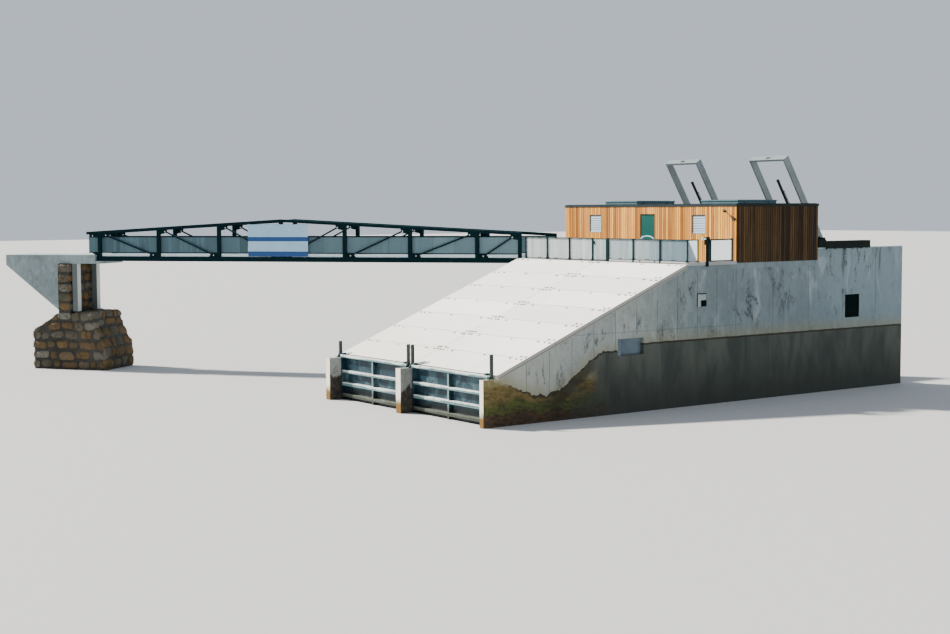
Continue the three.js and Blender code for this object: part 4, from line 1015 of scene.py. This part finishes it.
def hinge_half(shape, low, near, far, back):
    """One knuckle of the rail gate's hinges and the leaf that holds it."""
    shape.rod((*HINGE_PIN, low), (*HINGE_PIN, low + 0.06), 0.009)
    shape.block((back, near, low + 0.01), (-2.918, far, low + 0.05), 0.003)


def rail_return(uprights, beads, low):
    """The short white panel that turns the near railing's corner, given a darker blue as painted shade."""
    corner = NEAR_POSTS[0]
    rail_post(uprights, RAIL_RETURN_X - 0.02, corner, KERB_TOP)
    x0, x1 = RAIL_X + 0.03, RAIL_RETURN_X - 0.05
    panel = Shape()
    panel.block((x0 + 0.004, corner - 0.004, low), (x1 - 0.004, corner + 0.004, RAIL_TOP - 0.035), 0.001)
    # Painted shade: this panel gets the darker blue copy of the white panel.
    panel.finish("return_panel_sheet", PANEL_IN_PAINTED_SHADE, slot="white_panel")
    beads.block((x0, corner - 0.018, RAIL_TOP - 0.045), (x1, corner + 0.018, RAIL_TOP - 0.008), 0.006)
    beads.block((x0, corner - 0.016, low - 0.012), (x1, corner + 0.016, low + 0.012), 0.003)


def make_railings():
    chance = random.Random(5)
    for name, posts, low, node in (
        ("far_railing", FAR_POSTS, DECK_Z + 0.05, "railing_far"),
        ("near_railing", NEAR_POSTS, KERB_TOP + 0.03, "railing_near"),
    ):
        uprights, sheets, trims, beads = Shape(), Shape(), Shape(), Shape()
        for y in posts:
            rail_post(uprights, RAIL_X, y, KERB_TOP if y == NEAR_POSTS[0] else DECK_Z)
        rail_sheets(sheets, trims, RAIL_X, posts, low, chance)
        bead = (posts[0] + 0.03, RAIL_TOP - 0.04), (posts[-1] - 0.03, RAIL_TOP - 0.005)
        beads.block((RAIL_X - 0.02, *bead[0]), (RAIL_X + 0.045, *bead[1]), 0.006)
        if node == "railing_near":
            rail_return(uprights, beads, low)
            rail_post(uprights, RAIL_X, NEAR_POSTS[-1] - 0.075, DECK_Z)
            for z in HINGE_HEIGHTS:
                hinge_half(uprights, z, -0.6, HINGE_PIN[1], -2.94)
        made = uprights.finish(f"{name}_posts", POST_GREEN, slot="green_steel")
        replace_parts(made, node)
        sheets.finish(f"{name}_sheets", RAIL_SHEET, slot="green_steel")
        trims.finish(f"{name}_clips", POST_GREEN, slot="green_steel")
        beads.finish(f"{name}_top_bead", POST_GREEN, slot="green_steel")


def make_rail_gate():
    leaf, sheet = Shape(), Shape()
    y0, y1 = -0.556, 0.41
    low, high = 6.34, 7.38
    x0, x1 = RAIL_X - 0.015, RAIL_X + 0.015
    for a, b in ((y0, y0 + 0.04), (y1 - 0.04, y1)):
        leaf.block((x0, a, low), (x1, b, high), 0.004)
    for a, b in ((low, low + 0.04), (high - 0.04, high)):
        leaf.block((x0, y0 + 0.039, a), (x1, y1 - 0.039, b), 0.004)
    for z in HINGE_HEIGHTS:
        hinge_half(leaf, z + 0.0605, HINGE_PIN[1], -0.55, -2.942)
    leaf.block((x0 - 0.03, y1 - 0.13, 7.10), (x0 + 0.004, y1 - 0.03, 7.26), 0.006)
    leaf.rod((x0 - 0.028, y1 - 0.08, 7.2), (x0 - 0.05, y1 - 0.08, 7.2), 0.02, 16)
    made = leaf.finish("rail_gate_frame", POST_GREEN, body="railing_gate", slot="green_steel")
    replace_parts(made, "railing_gate")
    edge = 0.038
    corners = (RAIL_X - 0.003, y0 + edge, low + edge), (RAIL_X + 0.003, y1 - edge, high - edge)
    sheet.block(*corners, 0.001, tone=0.35)
    sheet.finish("rail_gate_sheet", RAIL_SHEET, body="railing_gate", slot="green_steel")


def make_side_panel():
    """The white panel that closes the gap between the railing and the powerhouse."""
    y = NEAR_POSTS[0]
    dark, white = Shape(), Shape()
    low, high = KERB_TOP + 0.005, RAIL_TOP
    white.block((-1.515, y - 0.012, low + 0.04), (-0.25, y + 0.012, high - 0.05), 0.003)
    dark.block((-1.62, y - 0.025, KERB_TOP), (-1.51, y + 0.025, high), 0.005)
    dark.block((-0.25, y - 0.04, KERB_TOP), (-0.17, y + 0.04, high + 0.02), 0.006)
    for z0, z1 in ((low, low + 0.045), (high - 0.055, high)):
        dark.block((-1.511, y - 0.02, z0), (-0.249, y + 0.02, z1), 0.004)
    base_plate(dark, -0.21, y, KERB_TOP, 0.14)
    base_plate(dark, -1.595, y, KERB_TOP, 0.12)
    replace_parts(dark.finish("side_panel_frame", POST_GREEN, slot="green_steel"), "railing_panel")
    white.finish("side_panel_sheet", WHITE, slot="white_panel")


def make_control_post():
    extra = Shape()
    x0, x1, y = -1.99, -1.79, -HALF_WIDTH - 0.15
    extra.block((x0 - 0.006, y + 0.012, 7.165), (x0 + 0.002, y + 0.158, 7.475), 0.003)
    extra.block((x0 - 0.012, y + 0.001, 7.488), (x1 + 0.012, y + 0.17, 7.50), 0.003)
    extra.rod((-1.89, y + 0.03, 6.19), (-1.89, y + 0.03, 7.15), 0.014)
    for z in (6.35, 6.65, 6.95):
        extra.block((-1.925, y + 0.012, z), (-1.855, y + 0.046, z + 0.02), 0.003)
    extra.finish("control_post_box", DUCT, slot="green_steel")
    lamp = Shape()
    lamp_x, lamp_y, lamp_top = -2.17, y + 0.055, 7.47
    lamp.block((lamp_x, y + 0.035, 7.38), (-1.985, y + 0.075, 7.46), 0.004)
    lamp.rod((lamp_x, lamp_y, 7.36), (lamp_x, lamp_y, lamp_top), 0.05, 16)
    lamp.ball((lamp_x, lamp_y, lamp_top), 0.05, (1, 1, 0.5))
    lamp.finish("control_post_lamp", WHITE, slot="white_panel", smooth=True)


def make_deck_fittings():
    side = Shape()
    side.block((5.70, -6.02, 7.19), (6.05, -5.80, 7.36), 0.01)
    side.rod((5.75, -5.92, 7.36), (5.66, -5.92, 7.44), 0.03, 14)
    side.finish("duct_box", DUCT, slot="green_steel")
    pale = Shape()
    path = [(5.58, -5.9, 7.15), (5.58, -5.9, 7.42), (5.66, -5.9, 7.47), (5.78, -5.9, 7.40)]
    pale.tube(path, 0.035, 0.036, 14)
    pale.finish("duct_vent_pipe", PALE_STEEL, slot="galvanised", smooth=True)
    seams = Shape()
    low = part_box("wall_duct")[0]
    for i in range(5):
        x = low.x + 0.55 + i * 0.62
        seams.block((x - 0.02, low.y - 0.006, 6.79), (x + 0.02, low.y + 0.46, 7.156), 0.003)
    for i in range(6):
        x = low.x + 0.3 + i * 0.62
        seams.bolt((x, low.y, 6.83), (0, -1, 0), 0.01)
    seams.finish("duct_straps", DUCT, slot="green_steel")


# Near wall fittings


def make_wall_lamp_box():
    """The square lamp at the corner of a pale plate with a thin dark edge."""
    face = -HALF_WIDTH
    x0, x1, z0, z1 = -2.40, -1.90, 4.40, 4.96
    plate, edge, lamp = Shape(), Shape(), Shape()
    plate.block((x0, face - 0.014, z0), (x1, face + 0.002, z1), 0.004)
    plate.finish("lamp_plate", LAMP_PLATE, slot="wall_concrete")
    edge.block((x0 - 0.03, face - 0.03, z1), (x1 + 0.03, face + 0.002, z1 + 0.035), 0.004)
    edge.block((x0 - 0.03, face - 0.03, z0), (x0, face + 0.002, z1 - 0.001), 0.004)
    edge.finish("lamp_plate_edge", SHUTTER, slot="green_steel")
    lamp.block((-2.20, face - 0.05, z0 + 0.01), (x1 + 0.02, face - 0.012, z0 + 0.29), 0.012)
    lamp.block((-2.17, face - 0.08, z0 + 0.04), (x1 - 0.01, face - 0.049, z0 + 0.26), 0.01)
    lamp.rod((-2.04, face - 0.075, z0 + 0.15), (-2.04, face - 0.095, z0 + 0.15), 0.085, 24, tip=0.07)
    lamp.finish("wall_flood_lamp", SHUTTER, slot="cylinder_paint")


def make_shutter_frame():
    frames = Shape()
    low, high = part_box("wall_shutter")
    outer = -HALF_WIDTH + 0.008
    for a, b, c, d in (
        (low.x, high.x, low.z, low.z + 0.05),
        (low.x, high.x, high.z - 0.05, high.z),
        (low.x, low.x + 0.05, low.z, high.z),
        (high.x - 0.05, high.x, low.z, high.z),
    ):
        frames.block((a, outer, c), (b, outer + 0.025, d), 0.003)
    for i in range(1, 8):
        z = low.z + i * (high.z - low.z) / 8
        start = (low.x + 0.05, outer + 0.008, z - 0.012)
        frames.block(start, (high.x - 0.05, outer + 0.026, z + 0.012), 0.004)
    frames.finish("shutter_frame", SHUTTER, slot="green_steel")


# Outlet gates


def make_gate_fittings():
    """Bolt rows on the beams and a lifting lug at each end of the top beam."""
    for side, way in SIDES:
        centre = way * BAY_CENTRE
        body = f"outlet_gate_{side}"
        bolts, lugs = Shape(), Shape()
        for z in GATE_BEAMS:
            for i in range(-10, 11):
                bolts.bolt((GATE_FRONT, centre + i * 0.26, z), (-1, 0, 0), 0.011)
        for end in (-1, 1):
            y = centre + end * (BAY_HALF - 0.12)
            lugs.block((GATE_FRONT + 0.01, y - 0.07, 2.075), (GATE_BACK - 0.01, y + 0.07, 2.17), 0.01)
            lugs.rod((GATE_FRONT + 0.1, y - 0.1, 2.13), (GATE_FRONT + 0.1, y + 0.1, 2.13), 0.022)
        bolts.finish(f"gate_bolts_{side}", SLOT_STEEL, body=body, slot="outlet_gate_steel")
        lugs.finish(f"gate_lugs_{side}", BRACKET, body=body, slot="outlet_gate_steel")


def make_post_fittings():
    """Bolts on the gate posts and a bracket with two bolts at each foot."""
    bolts, brackets = Shape(), Shape()
    for i in range(1, 5):
        low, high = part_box(f"gate_post_{i}")
        middle = (low.y + high.y) / 2
        for z in (low.z + 0.25, low.z + 0.55, high.z - 0.12):
            for x, way in ((low.x, -1), (high.x, 1)):
                bolts.bolt((x, middle, z), (way, 0, 0), 0.01)
        foot = PIER_TOP + 0.02
        brackets.block((low.x - 0.14, low.y + 0.01, PIER_TOP), (low.x, high.y - 0.01, foot), 0.004)
        brackets.block((low.x - 0.02, low.y, foot), (low.x, high.y, foot + 0.14), 0.004)
        brackets.plate([
            (low.x - 0.02, middle - 0.012, foot),
            (low.x - 0.02, middle - 0.012, foot + 0.12),
            (low.x - 0.11, middle - 0.012, foot),
        ], (0, 0.024, 0))
        for y in (middle - 0.035, middle + 0.035):
            brackets.bolt((low.x - 0.11, y, foot), (0, 0, 1), 0.012)
    bolts.finish("gate_post_bolts", SLOT_STEEL, slot="green_steel")
    brackets.finish("gate_post_brackets", BRACKET, slot="green_steel")


# Cover


def make_cover_pockets():
    """Dark lifting pockets beside the slabs' joints: pairs at the corners and single ones between."""
    chance = random.Random(21)
    plugs = Shape()
    down = Vector((-math.cos(COVER_SLOPE), 0, -math.sin(COVER_SLOPE)))
    out = Vector((-math.sin(COVER_SLOPE), 0, math.cos(COVER_SLOPE)))
    turn = Matrix((down, (0, 1, 0), out)).transposed().to_4x4()
    head = Vector((COVER_HEAD_X, 0, DECK_Z))
    offsets = (0.15, 0.36, 0.98, 3.35, 5.15, 5.62, 5.92)
    for row in range(COVER_ROWS):
        for side, offset, after in product((-1, 1), offsets, (0.13, -0.13)):
            single = offset in (0.98, 3.35, 5.15)
            if (after < 0 and (row == 0 or single)) or (offset > 5.0 and side > 0 and after < 0):
                continue
            along = row * COVER_PITCH + after + chance.uniform(-0.02, 0.02)
            y = side * (offset + chance.uniform(-0.04, 0.04))
            at = head + down * along + Vector((0, y, 0)) + out * 0.001
            wide = chance.uniform(0.05, 0.09)
            low, high = at - Vector((0.05, wide, 0.003)), at + Vector((0.05, wide, 0.003))
            plugs.block(low, high, 0.002, turn)
            plugs.rod(at, at + out * 0.007, 0.018, 8)
    plugs.finish("cover_lifting_pockets", POCKET, slot="cover_concrete")


# Intake


def make_intake_fittings():
    """Bolted joints, rollers and oil pipes on the intake frames, made in each frame's own axes."""
    for side, way in SIDES:
        foot = (INTAKE_FOOT[0], way * BAY_CENTRE, INTAKE_FOOT[1])
        place = Matrix.Translation(foot) @ Matrix.Rotation(-INTAKE_LEAN, 4, "Y")
        fixed, moving, dark = Shape(place), Shape(place), Shape(place)
        for end in (-1, 1):
            for i in range(12):
                for x in (0.09, -0.09):
                    fixed.bolt((x, end * 1.18, 0.6 + i * 0.7), (0, end, 0), 0.012)
            for x, up in product((-0.11, 0.11), (11.45, 11.2)):
                moving.bolt((x, end * 1.15, up), (0, end, 0), 0.014)
            for up in (2.2, 3.4):
                moving.rod((0, end * 1.06, up), (0, end * 1.005, up), 0.09, 20)
            moving.block((-0.1, end * 0.1, 11.556), (0.1, end * 0.14, 11.575), 0.005)
        low, high = 8.6, 9.6
        for up in (low, high):
            dark.rod((0.05, 0, up), (0.13, 0, up), 0.02, 12)
        dark.rod((0.125, 0, low), (0.125, 0, high), 0.012, 10)
        for foot, head, radius in ((8.09, 8.13, 0.085), (10.25, 10.30, 0.080)):
            dark.rod((0, 0, foot), (0, 0, head), radius, 20)
        body = f"intake_gate_{side}"
        fixed.finish(f"guide_bolts_{side}", FRAME_STEEL, slot="galvanised")
        moving.finish(f"intake_frame_bolts_{side}", FRAME_STEEL, body=body, slot="galvanised")
        dark.finish(f"cylinder_pipe_{side}", BLACK, slot="cylinder_paint")


# Footbridge


def top_chord(u):
    """Height of a truss's top at a distance from the plant."""
    if u < APEX_U:
        return TOP_AT_PLANT + (TOP_AT_APEX - TOP_AT_PLANT) * u / APEX_U
    return TOP_AT_APEX + (TOP_AT_BANK - TOP_AT_APEX) * (u - APEX_U) / (UPPER_END - APEX_U)


def verticals(start):
    return [start] + [SHORT_BAY + i * BAY for i in range(7)]


def bays(start):
    """Where each bay starts and ends. The last one ends with the top chord."""
    edges = verticals(start) + [UPPER_END - TRUSS_HALF]
    return list(zip(edges, edges[1:]))


def truss_pins(side, y, start):
    """The bright ends of the pins that hold the diagonals."""
    pins = Shape(BRIDGE_FRAME)
    for a, b in bays(start)[:-1]:
        outer, inner = (a, b) if a < APEX_U else (b, a)
        way = 1 if inner > outer else -1
        top = outer + way * TOP_PIN
        foot = inner - way * FOOT_PIN
        for u, z in ((top, top_chord(top) - TOP_CHORD - TOP_PIN_DROP), (foot, CHORD_TOP + FOOT_PIN_RISE)):
            for reach, radius, sides in ((0.052, 0.033, 18), (0.062, 0.016, 12)):
                pins.rod((u, y - reach, z), (u, y + reach, z), radius, sides)
    pins.finish(f"bridge_{side}_pins", PIN, slot="galvanised")


def truss_end(side, y):
    """Gussets past the last upright, where the bridge meets the bank, and the pin in the upper one."""
    gussets, pin = Shape(BRIDGE_FRAME), Shape(BRIDGE_FRAME)
    post = verticals(0)[-1] + TRUSS_HALF
    high = top_chord(post) - TOP_CHORD
    low, kick = CHORD_TOP + 0.004, KICK_TOP + 0.02
    for outline in (
        ((0, high), (0.6, high - 0.02), (0.56, high - 0.17), (0, high - 0.22)),
        ((0, low), (0.12, low), (0.42, kick), (0, kick)),
    ):
        gussets.plate([(post + u, y - 0.012, z) for u, z in outline], (0, 0.024, 0))
    u, z = post + 0.37, high - TOP_PIN_DROP
    pin.rod((u, y - 0.03, z), (u, y + 0.03, z), 0.033, 18)
    gussets.finish(f"bridge_{side}_end_gussets", BRIDGE_GREEN, slot="bridge_paint")
    pin.finish(f"bridge_{side}_end_pin", PIN, slot="galvanised")


def truss_sheets(side, y, inward, start):
    """Sheets in each bay and the kick boards below them."""
    sheets, kick = Shape(BRIDGE_FRAME), Shape(BRIDGE_FRAME)
    chance = random.Random(side)
    front, back = y + inward * SHEET_FRONT, y + inward * SHEET_BACK
    for a, b in bays(start):
        parts = max(1, round((b - a) / 1.2))
        for i in range(parts):
            u0 = a + (b - a) * i / parts + 0.004
            u1 = a + (b - a) * (i + 1) / parts - 0.004
            tone = chance.random()
            sheets.block((u0, front, PANEL[0] + 0.008), (u1, back, PANEL[1] - 0.012), 0.001, tone=tone)
        end = min(b, LOWER_END - TRUSS_HALF)
        if end - a > 0.1:
            kick.block((a + 0.004, front, CHORD_TOP + 0.004), (end - 0.004, back, KICK_TOP), 0.002)
    sheets.finish(f"bridge_{side}_sheets", BRIDGE_SHEET, slot="bridge_paint")
    kick.finish(f"bridge_{side}_kick_boards", WHITE, slot="bridge_deck")


def truss_rails(side, y, inward, start):
    """A rail along the top and the foot of the sheets."""
    rails = Shape(BRIDGE_FRAME)
    front, back = y + inward * (SHEET_FRONT - 0.004), y + inward * (SHEET_BACK + 0.004)
    for a, b in bays(start):
        for z in (PANEL[0] - 0.01, PANEL[1] - 0.03):
            rails.block((a + 0.004, front, z), (b - 0.004, back, z + 0.04), 0.004)
    rails.finish(f"bridge_{side}_sheet_rails", BRIDGE_GREEN, slot="bridge_paint")


def truss_bolts(side, y, start):
    """Four bolts at the top and foot of each upright, on both faces."""
    bolts = Shape(BRIDGE_FRAME)
    for u in verticals(start):
        high = top_chord(u) - TOP_CHORD
        for face in (-1, 1):
            for z in (high - 0.10, high - 0.20, CHORD_TOP + 0.08, CHORD_TOP + 0.16):
                bolts.bolt((u, y + face * TRUSS_HALF, z), (0, face, 0), 0.013)
    bolts.finish(f"bridge_{side}_bolts", BRIDGE_GREEN, slot="bridge_paint")


def make_truss_fittings():
    for side, y, inward, start in (("near", 0.0, -1, 0.0), ("far", -BRIDGE_WIDTH, 1, SHORT_BAY - BAY)):
        truss_pins(side, y, start)
        truss_end(side, y)
        truss_sheets(side, y, inward, start)
        truss_bolts(side, y, start)
        truss_rails(side, y, inward, start)


def make_bridge_details():
    planks = Shape(BRIDGE_FRAME)
    u = 0.4
    while u < LOWER_END - 0.4:
        planks.block((u, -BRIDGE_WIDTH + 0.08, DECK_Z), (u + 0.18, -0.08, DECK_Z + 0.006), 0.002)
        u += 0.2
    planks.finish("bridge_planks", GALVANISED, slot="bridge_deck")
    plates = Shape(BRIDGE_FRAME)
    end = LOWER_END
    for y in (0.0, -BRIDGE_WIDTH):
        plates.block((end - 0.30, y - 0.12, CHORD_LOW - 0.03), (end - 0.02, y + 0.12, CHORD_LOW), 0.004)
        start = (end - 0.01, y - 0.09, CHORD_LOW + 0.01)
        plates.block(start, (end + 0.012, y + 0.09, CHORD_TOP - 0.01), 0.003)
    plates.finish("bridge_bearings", BRIDGE_GREEN, slot="bridge_paint")


# Abutment masonry


def rounded_stone(shape, centre, half, axes, chance):
    """An irregular rounded block: a ball squared off towards a box, with knocks, and turned a little."""
    tone = chance.random()
    made = bmesh.ops.create_icosphere(shape.mesh, subdivisions=2, radius=1.0)
    knocks = [Vector([chance.uniform(-1, 1) for _ in range(3)]).normalized() for _ in range(7)]
    turn = Matrix.Rotation(math.radians(chance.uniform(-7, 7)), 3, "Z")
    for v in made["verts"]:
        p = Vector([math.copysign(abs(c) ** 0.5, c) for c in v.co.normalized()])
        for direction in knocks:
            beyond = p.dot(direction) - 0.92
            if beyond > 0:
                p -= direction * beyond * 0.8
        p = Vector([max(-1.0, min(1.0, c)) * half[i] for i, c in enumerate(p)])
        p = turn @ p
        p.z = min(p.z, half[2])
        v.co = centre + sum((axes[i] * p[i] for i in range(3)), Vector())
        v.co.z = max(v.co.z, 0.002)
        v[shape.tone] = tone


def stone_patch(shape, origin, along, up, length, rise, normal, chance, inset=0.02):
    """Rows of uneven stones over a flat patch, with their faces just inside it."""
    rows = max(1, round(rise / COURSE))
    tall = rise / rows
    for row in range(rows):
        s = 0.0
        while s < length - 0.05:
            width = min(chance.uniform(0.4, 1.1), length - s)
            if length - s - width < 0.35:
                width = length - s
            depth = chance.uniform(0.13, 0.19)
            lift = chance.uniform(-0.06, 0.06) if 0 < s < length - width else 0.0
            high = (row + 0.5) * tall + lift
            middle = origin + along * (s + width / 2) + up * high - normal * (depth + inset)
            half = (width / 2 - 0.015, tall / 2 - chance.uniform(0.0, 0.05), depth)
            rounded_stone(shape, middle, half, (along, up, normal), chance)
            s += width


def mortar_core():
    """The masonry's body, a hand's breadth inside its stone faces."""
    inner = [
        (23.66, 0), (28.19, 0), (28.19, 2.14), (26.58, 3.13), (26.58, 5.87), (25.87, 5.87), (25.87, 3.13),
        (24.45, 3.13), (24.27, 2.36), (23.66, 1.27),
    ]
    shape = Shape(BRIDGE_FRAME)
    shape.plate([(u, STONE_BACK + 0.1, z) for u, z in inner], (0, STONE_FACE - STONE_BACK - 0.2, 0))
    return shape.finish("masonry_mortar", MORTAR_IN_PAINTED_SHADE, slot="masonry")


def make_masonry():
    chance = random.Random(11)
    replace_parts(mortar_core(), "abutment_masonry")
    stones = Shape(BRIDGE_FRAME)
    level, upright = Vector((1, 0, 0)), Vector((0, 0, 1))
    ends = (23.55, 28.3), (23.55, 28.3), (23.65, 28.3), (23.95, 28.1), (24.15, 27.4), (24.35, 26.7)
    rows = [(i * COURSE, *pair) for i, pair in enumerate(ends)]
    rows += [(3.24 + 0.53 * i, 25.77, 26.58) for i in range(5)]
    for side, y in ((1, STONE_FACE), (-1, STONE_BACK)):
        for z, u0, u1 in rows:
            outward = Vector((0, side, 0))
            stone_patch(stones, Vector((u0, y, z)), level, upright, u1 - u0, 0.52, outward, chance)
    outline = [(23.55, 0), (23.55, 1.3), (24.15, 2.4), (24.35, 3.24), (25.73, 3.24)]
    faces = list(zip(outline, outline[1:])) + [((28.3, 2.2), (28.3, 0)), ((26.7, 3.18), (28.3, 2.2))]
    faces += [((25.75, 3.26), (25.75, 5.88)), ((26.6, 3.26), (26.6, 5.88))]
    across = Vector((0, 1, 0))
    for a, b in faces:
        start, end = Vector((a[0], STONE_BACK, a[1])), Vector((b[0], STONE_BACK, b[1]))
        up = (end - start).normalized()
        normal = up.cross(across)
        if normal.dot(Vector((26.18 - a[0], 0, 1.2 - a[1]))) > 0:
            normal = -normal
        stone_patch(stones, start, across, up, STONE_FACE - STONE_BACK, (end - start).length, normal, chance)
    stones.finish("masonry_stones", STONE, slot="masonry", smooth=True)


# Banner


def banner_shape(length, height, face):
    """A cloth with slack along its top and bulges between its eyelets."""
    columns, rows = 84, 42
    shape = Shape(BRIDGE_FRAME)
    grid = []
    for j in range(rows + 1):
        line = []
        for i in range(columns + 1):
            u, v = i / columns, j / rows
            slack = abs(math.sin(math.pi * u * BANNER_TIES))
            z = BANNER_LOW + v * height - 0.022 * slack * v ** 6
            bulge = 0.004 * slack * (v ** 4 + (1 - v) ** 4)
            bulge += 0.0015 * math.sin(9 * u + 4 * v) * math.sin(math.pi * v)
            line.append(shape.vertex((BANNER_START + u * length, face + bulge, z), 0.5))
        grid.append(line)
    for low, high in zip(grid, grid[1:]):
        for i in range(columns):
            shape.mesh.faces.new((low[i], low[i + 1], high[i + 1], high[i]))
    return shape


def make_banner():
    """A blank banner laced flat to the near truss."""
    length = BANNER_END - BANNER_START
    height = BANNER_TOP - BANNER_LOW
    face = TRUSS_HALF + 0.006
    shape = banner_shape(length, height, face)
    cloth = shape.finish("banner_cloth", BANNER, slot="banner_cloth", smooth=True)
    thickness = cloth.modifiers.new("thickness", "SOLIDIFY")
    thickness.thickness = 0.0015
    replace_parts(cloth, "banner")
    eyelets = Shape(BRIDGE_FRAME)
    for i in range(BANNER_TIES + 1):
        u = BANNER_START + 0.03 + i * (length - 0.06) / BANNER_TIES
        for z in (BANNER_LOW + 0.03, BANNER_TOP - 0.03):
            eyelets.rod((u, face - 0.004, z), (u, face + 0.004, z), 0.014, 12)
            eyelets.rod((u, face + 0.002, z), (u, face + 0.006, z), 0.007, 8)
    eyelets.finish("banner_eyelets", GALVANISED, slot="galvanised")


make_boards()
make_roof()
make_door_fittings()
make_vents()
make_wall_lamp()
make_railings()
make_rail_gate()
make_side_panel()
make_control_post()
make_deck_fittings()
make_wall_lamp_box()
make_shutter_frame()
make_gate_fittings()
make_post_fittings()
make_cover_pockets()
make_intake_fittings()
make_truss_fittings()
make_bridge_details()
make_masonry()
make_banner()


# Stage


def make_floor():
    mesh = bpy.data.meshes.new("floor")
    corners = [(x * FLOOR_REACH, y * FLOOR_REACH, 0) for x, y in ((-1, -1), (1, -1), (1, 1), (-1, 1))]
    mesh.from_pydata(corners, [], [(0, 1, 2, 3)])
    floor = bpy.data.objects.new("floor", mesh)
    bpy.context.scene.collection.objects.link(floor)
    s = Surface("Pale floor", roughness=0.9)
    s.colour = FLOOR_COLOUR
    mesh.materials.append(s.finish())


def make_light():
    world = bpy.data.worlds.new("Studio")
    bpy.context.scene.world = world
    world.use_nodes = True
    background = world.node_tree.nodes["Background"]
    background.inputs["Color"].default_value = SKY_COLOUR
    background.inputs["Strength"].default_value = SKY_STRENGTH
    sun = bpy.data.lights.new("key", "SUN")
    sun.energy = SUN_STRENGTH
    sun.angle = SUN_WIDTH
    sun.color = SUN_COLOUR
    lamp = bpy.data.objects.new("key", sun)
    lamp.rotation_mode = "QUATERNION"
    lamp.rotation_quaternion = Vector(SUN_DIRECTION).to_track_quat("-Z", "Y")
    bpy.context.scene.collection.objects.link(lamp)


def make_camera():
    data = bpy.data.cameras.new("camera")
    data.sensor_width = SENSOR
    data.lens = LENS
    data.clip_end = 1000
    camera = bpy.data.objects.new("camera", data)
    bpy.context.scene.collection.objects.link(camera)
    place = Matrix.Translation(CAMERA_AT)
    for angle, axis in ((-CAMERA_YAW, "Z"), (math.pi / 2 + CAMERA_PITCH, "X"), (CAMERA_ROLL, "Z")):
        place = place @ Matrix.Rotation(angle, 4, axis)
    camera.matrix_world = place
    bpy.context.scene.camera = camera


make_floor()
make_light()
make_camera()
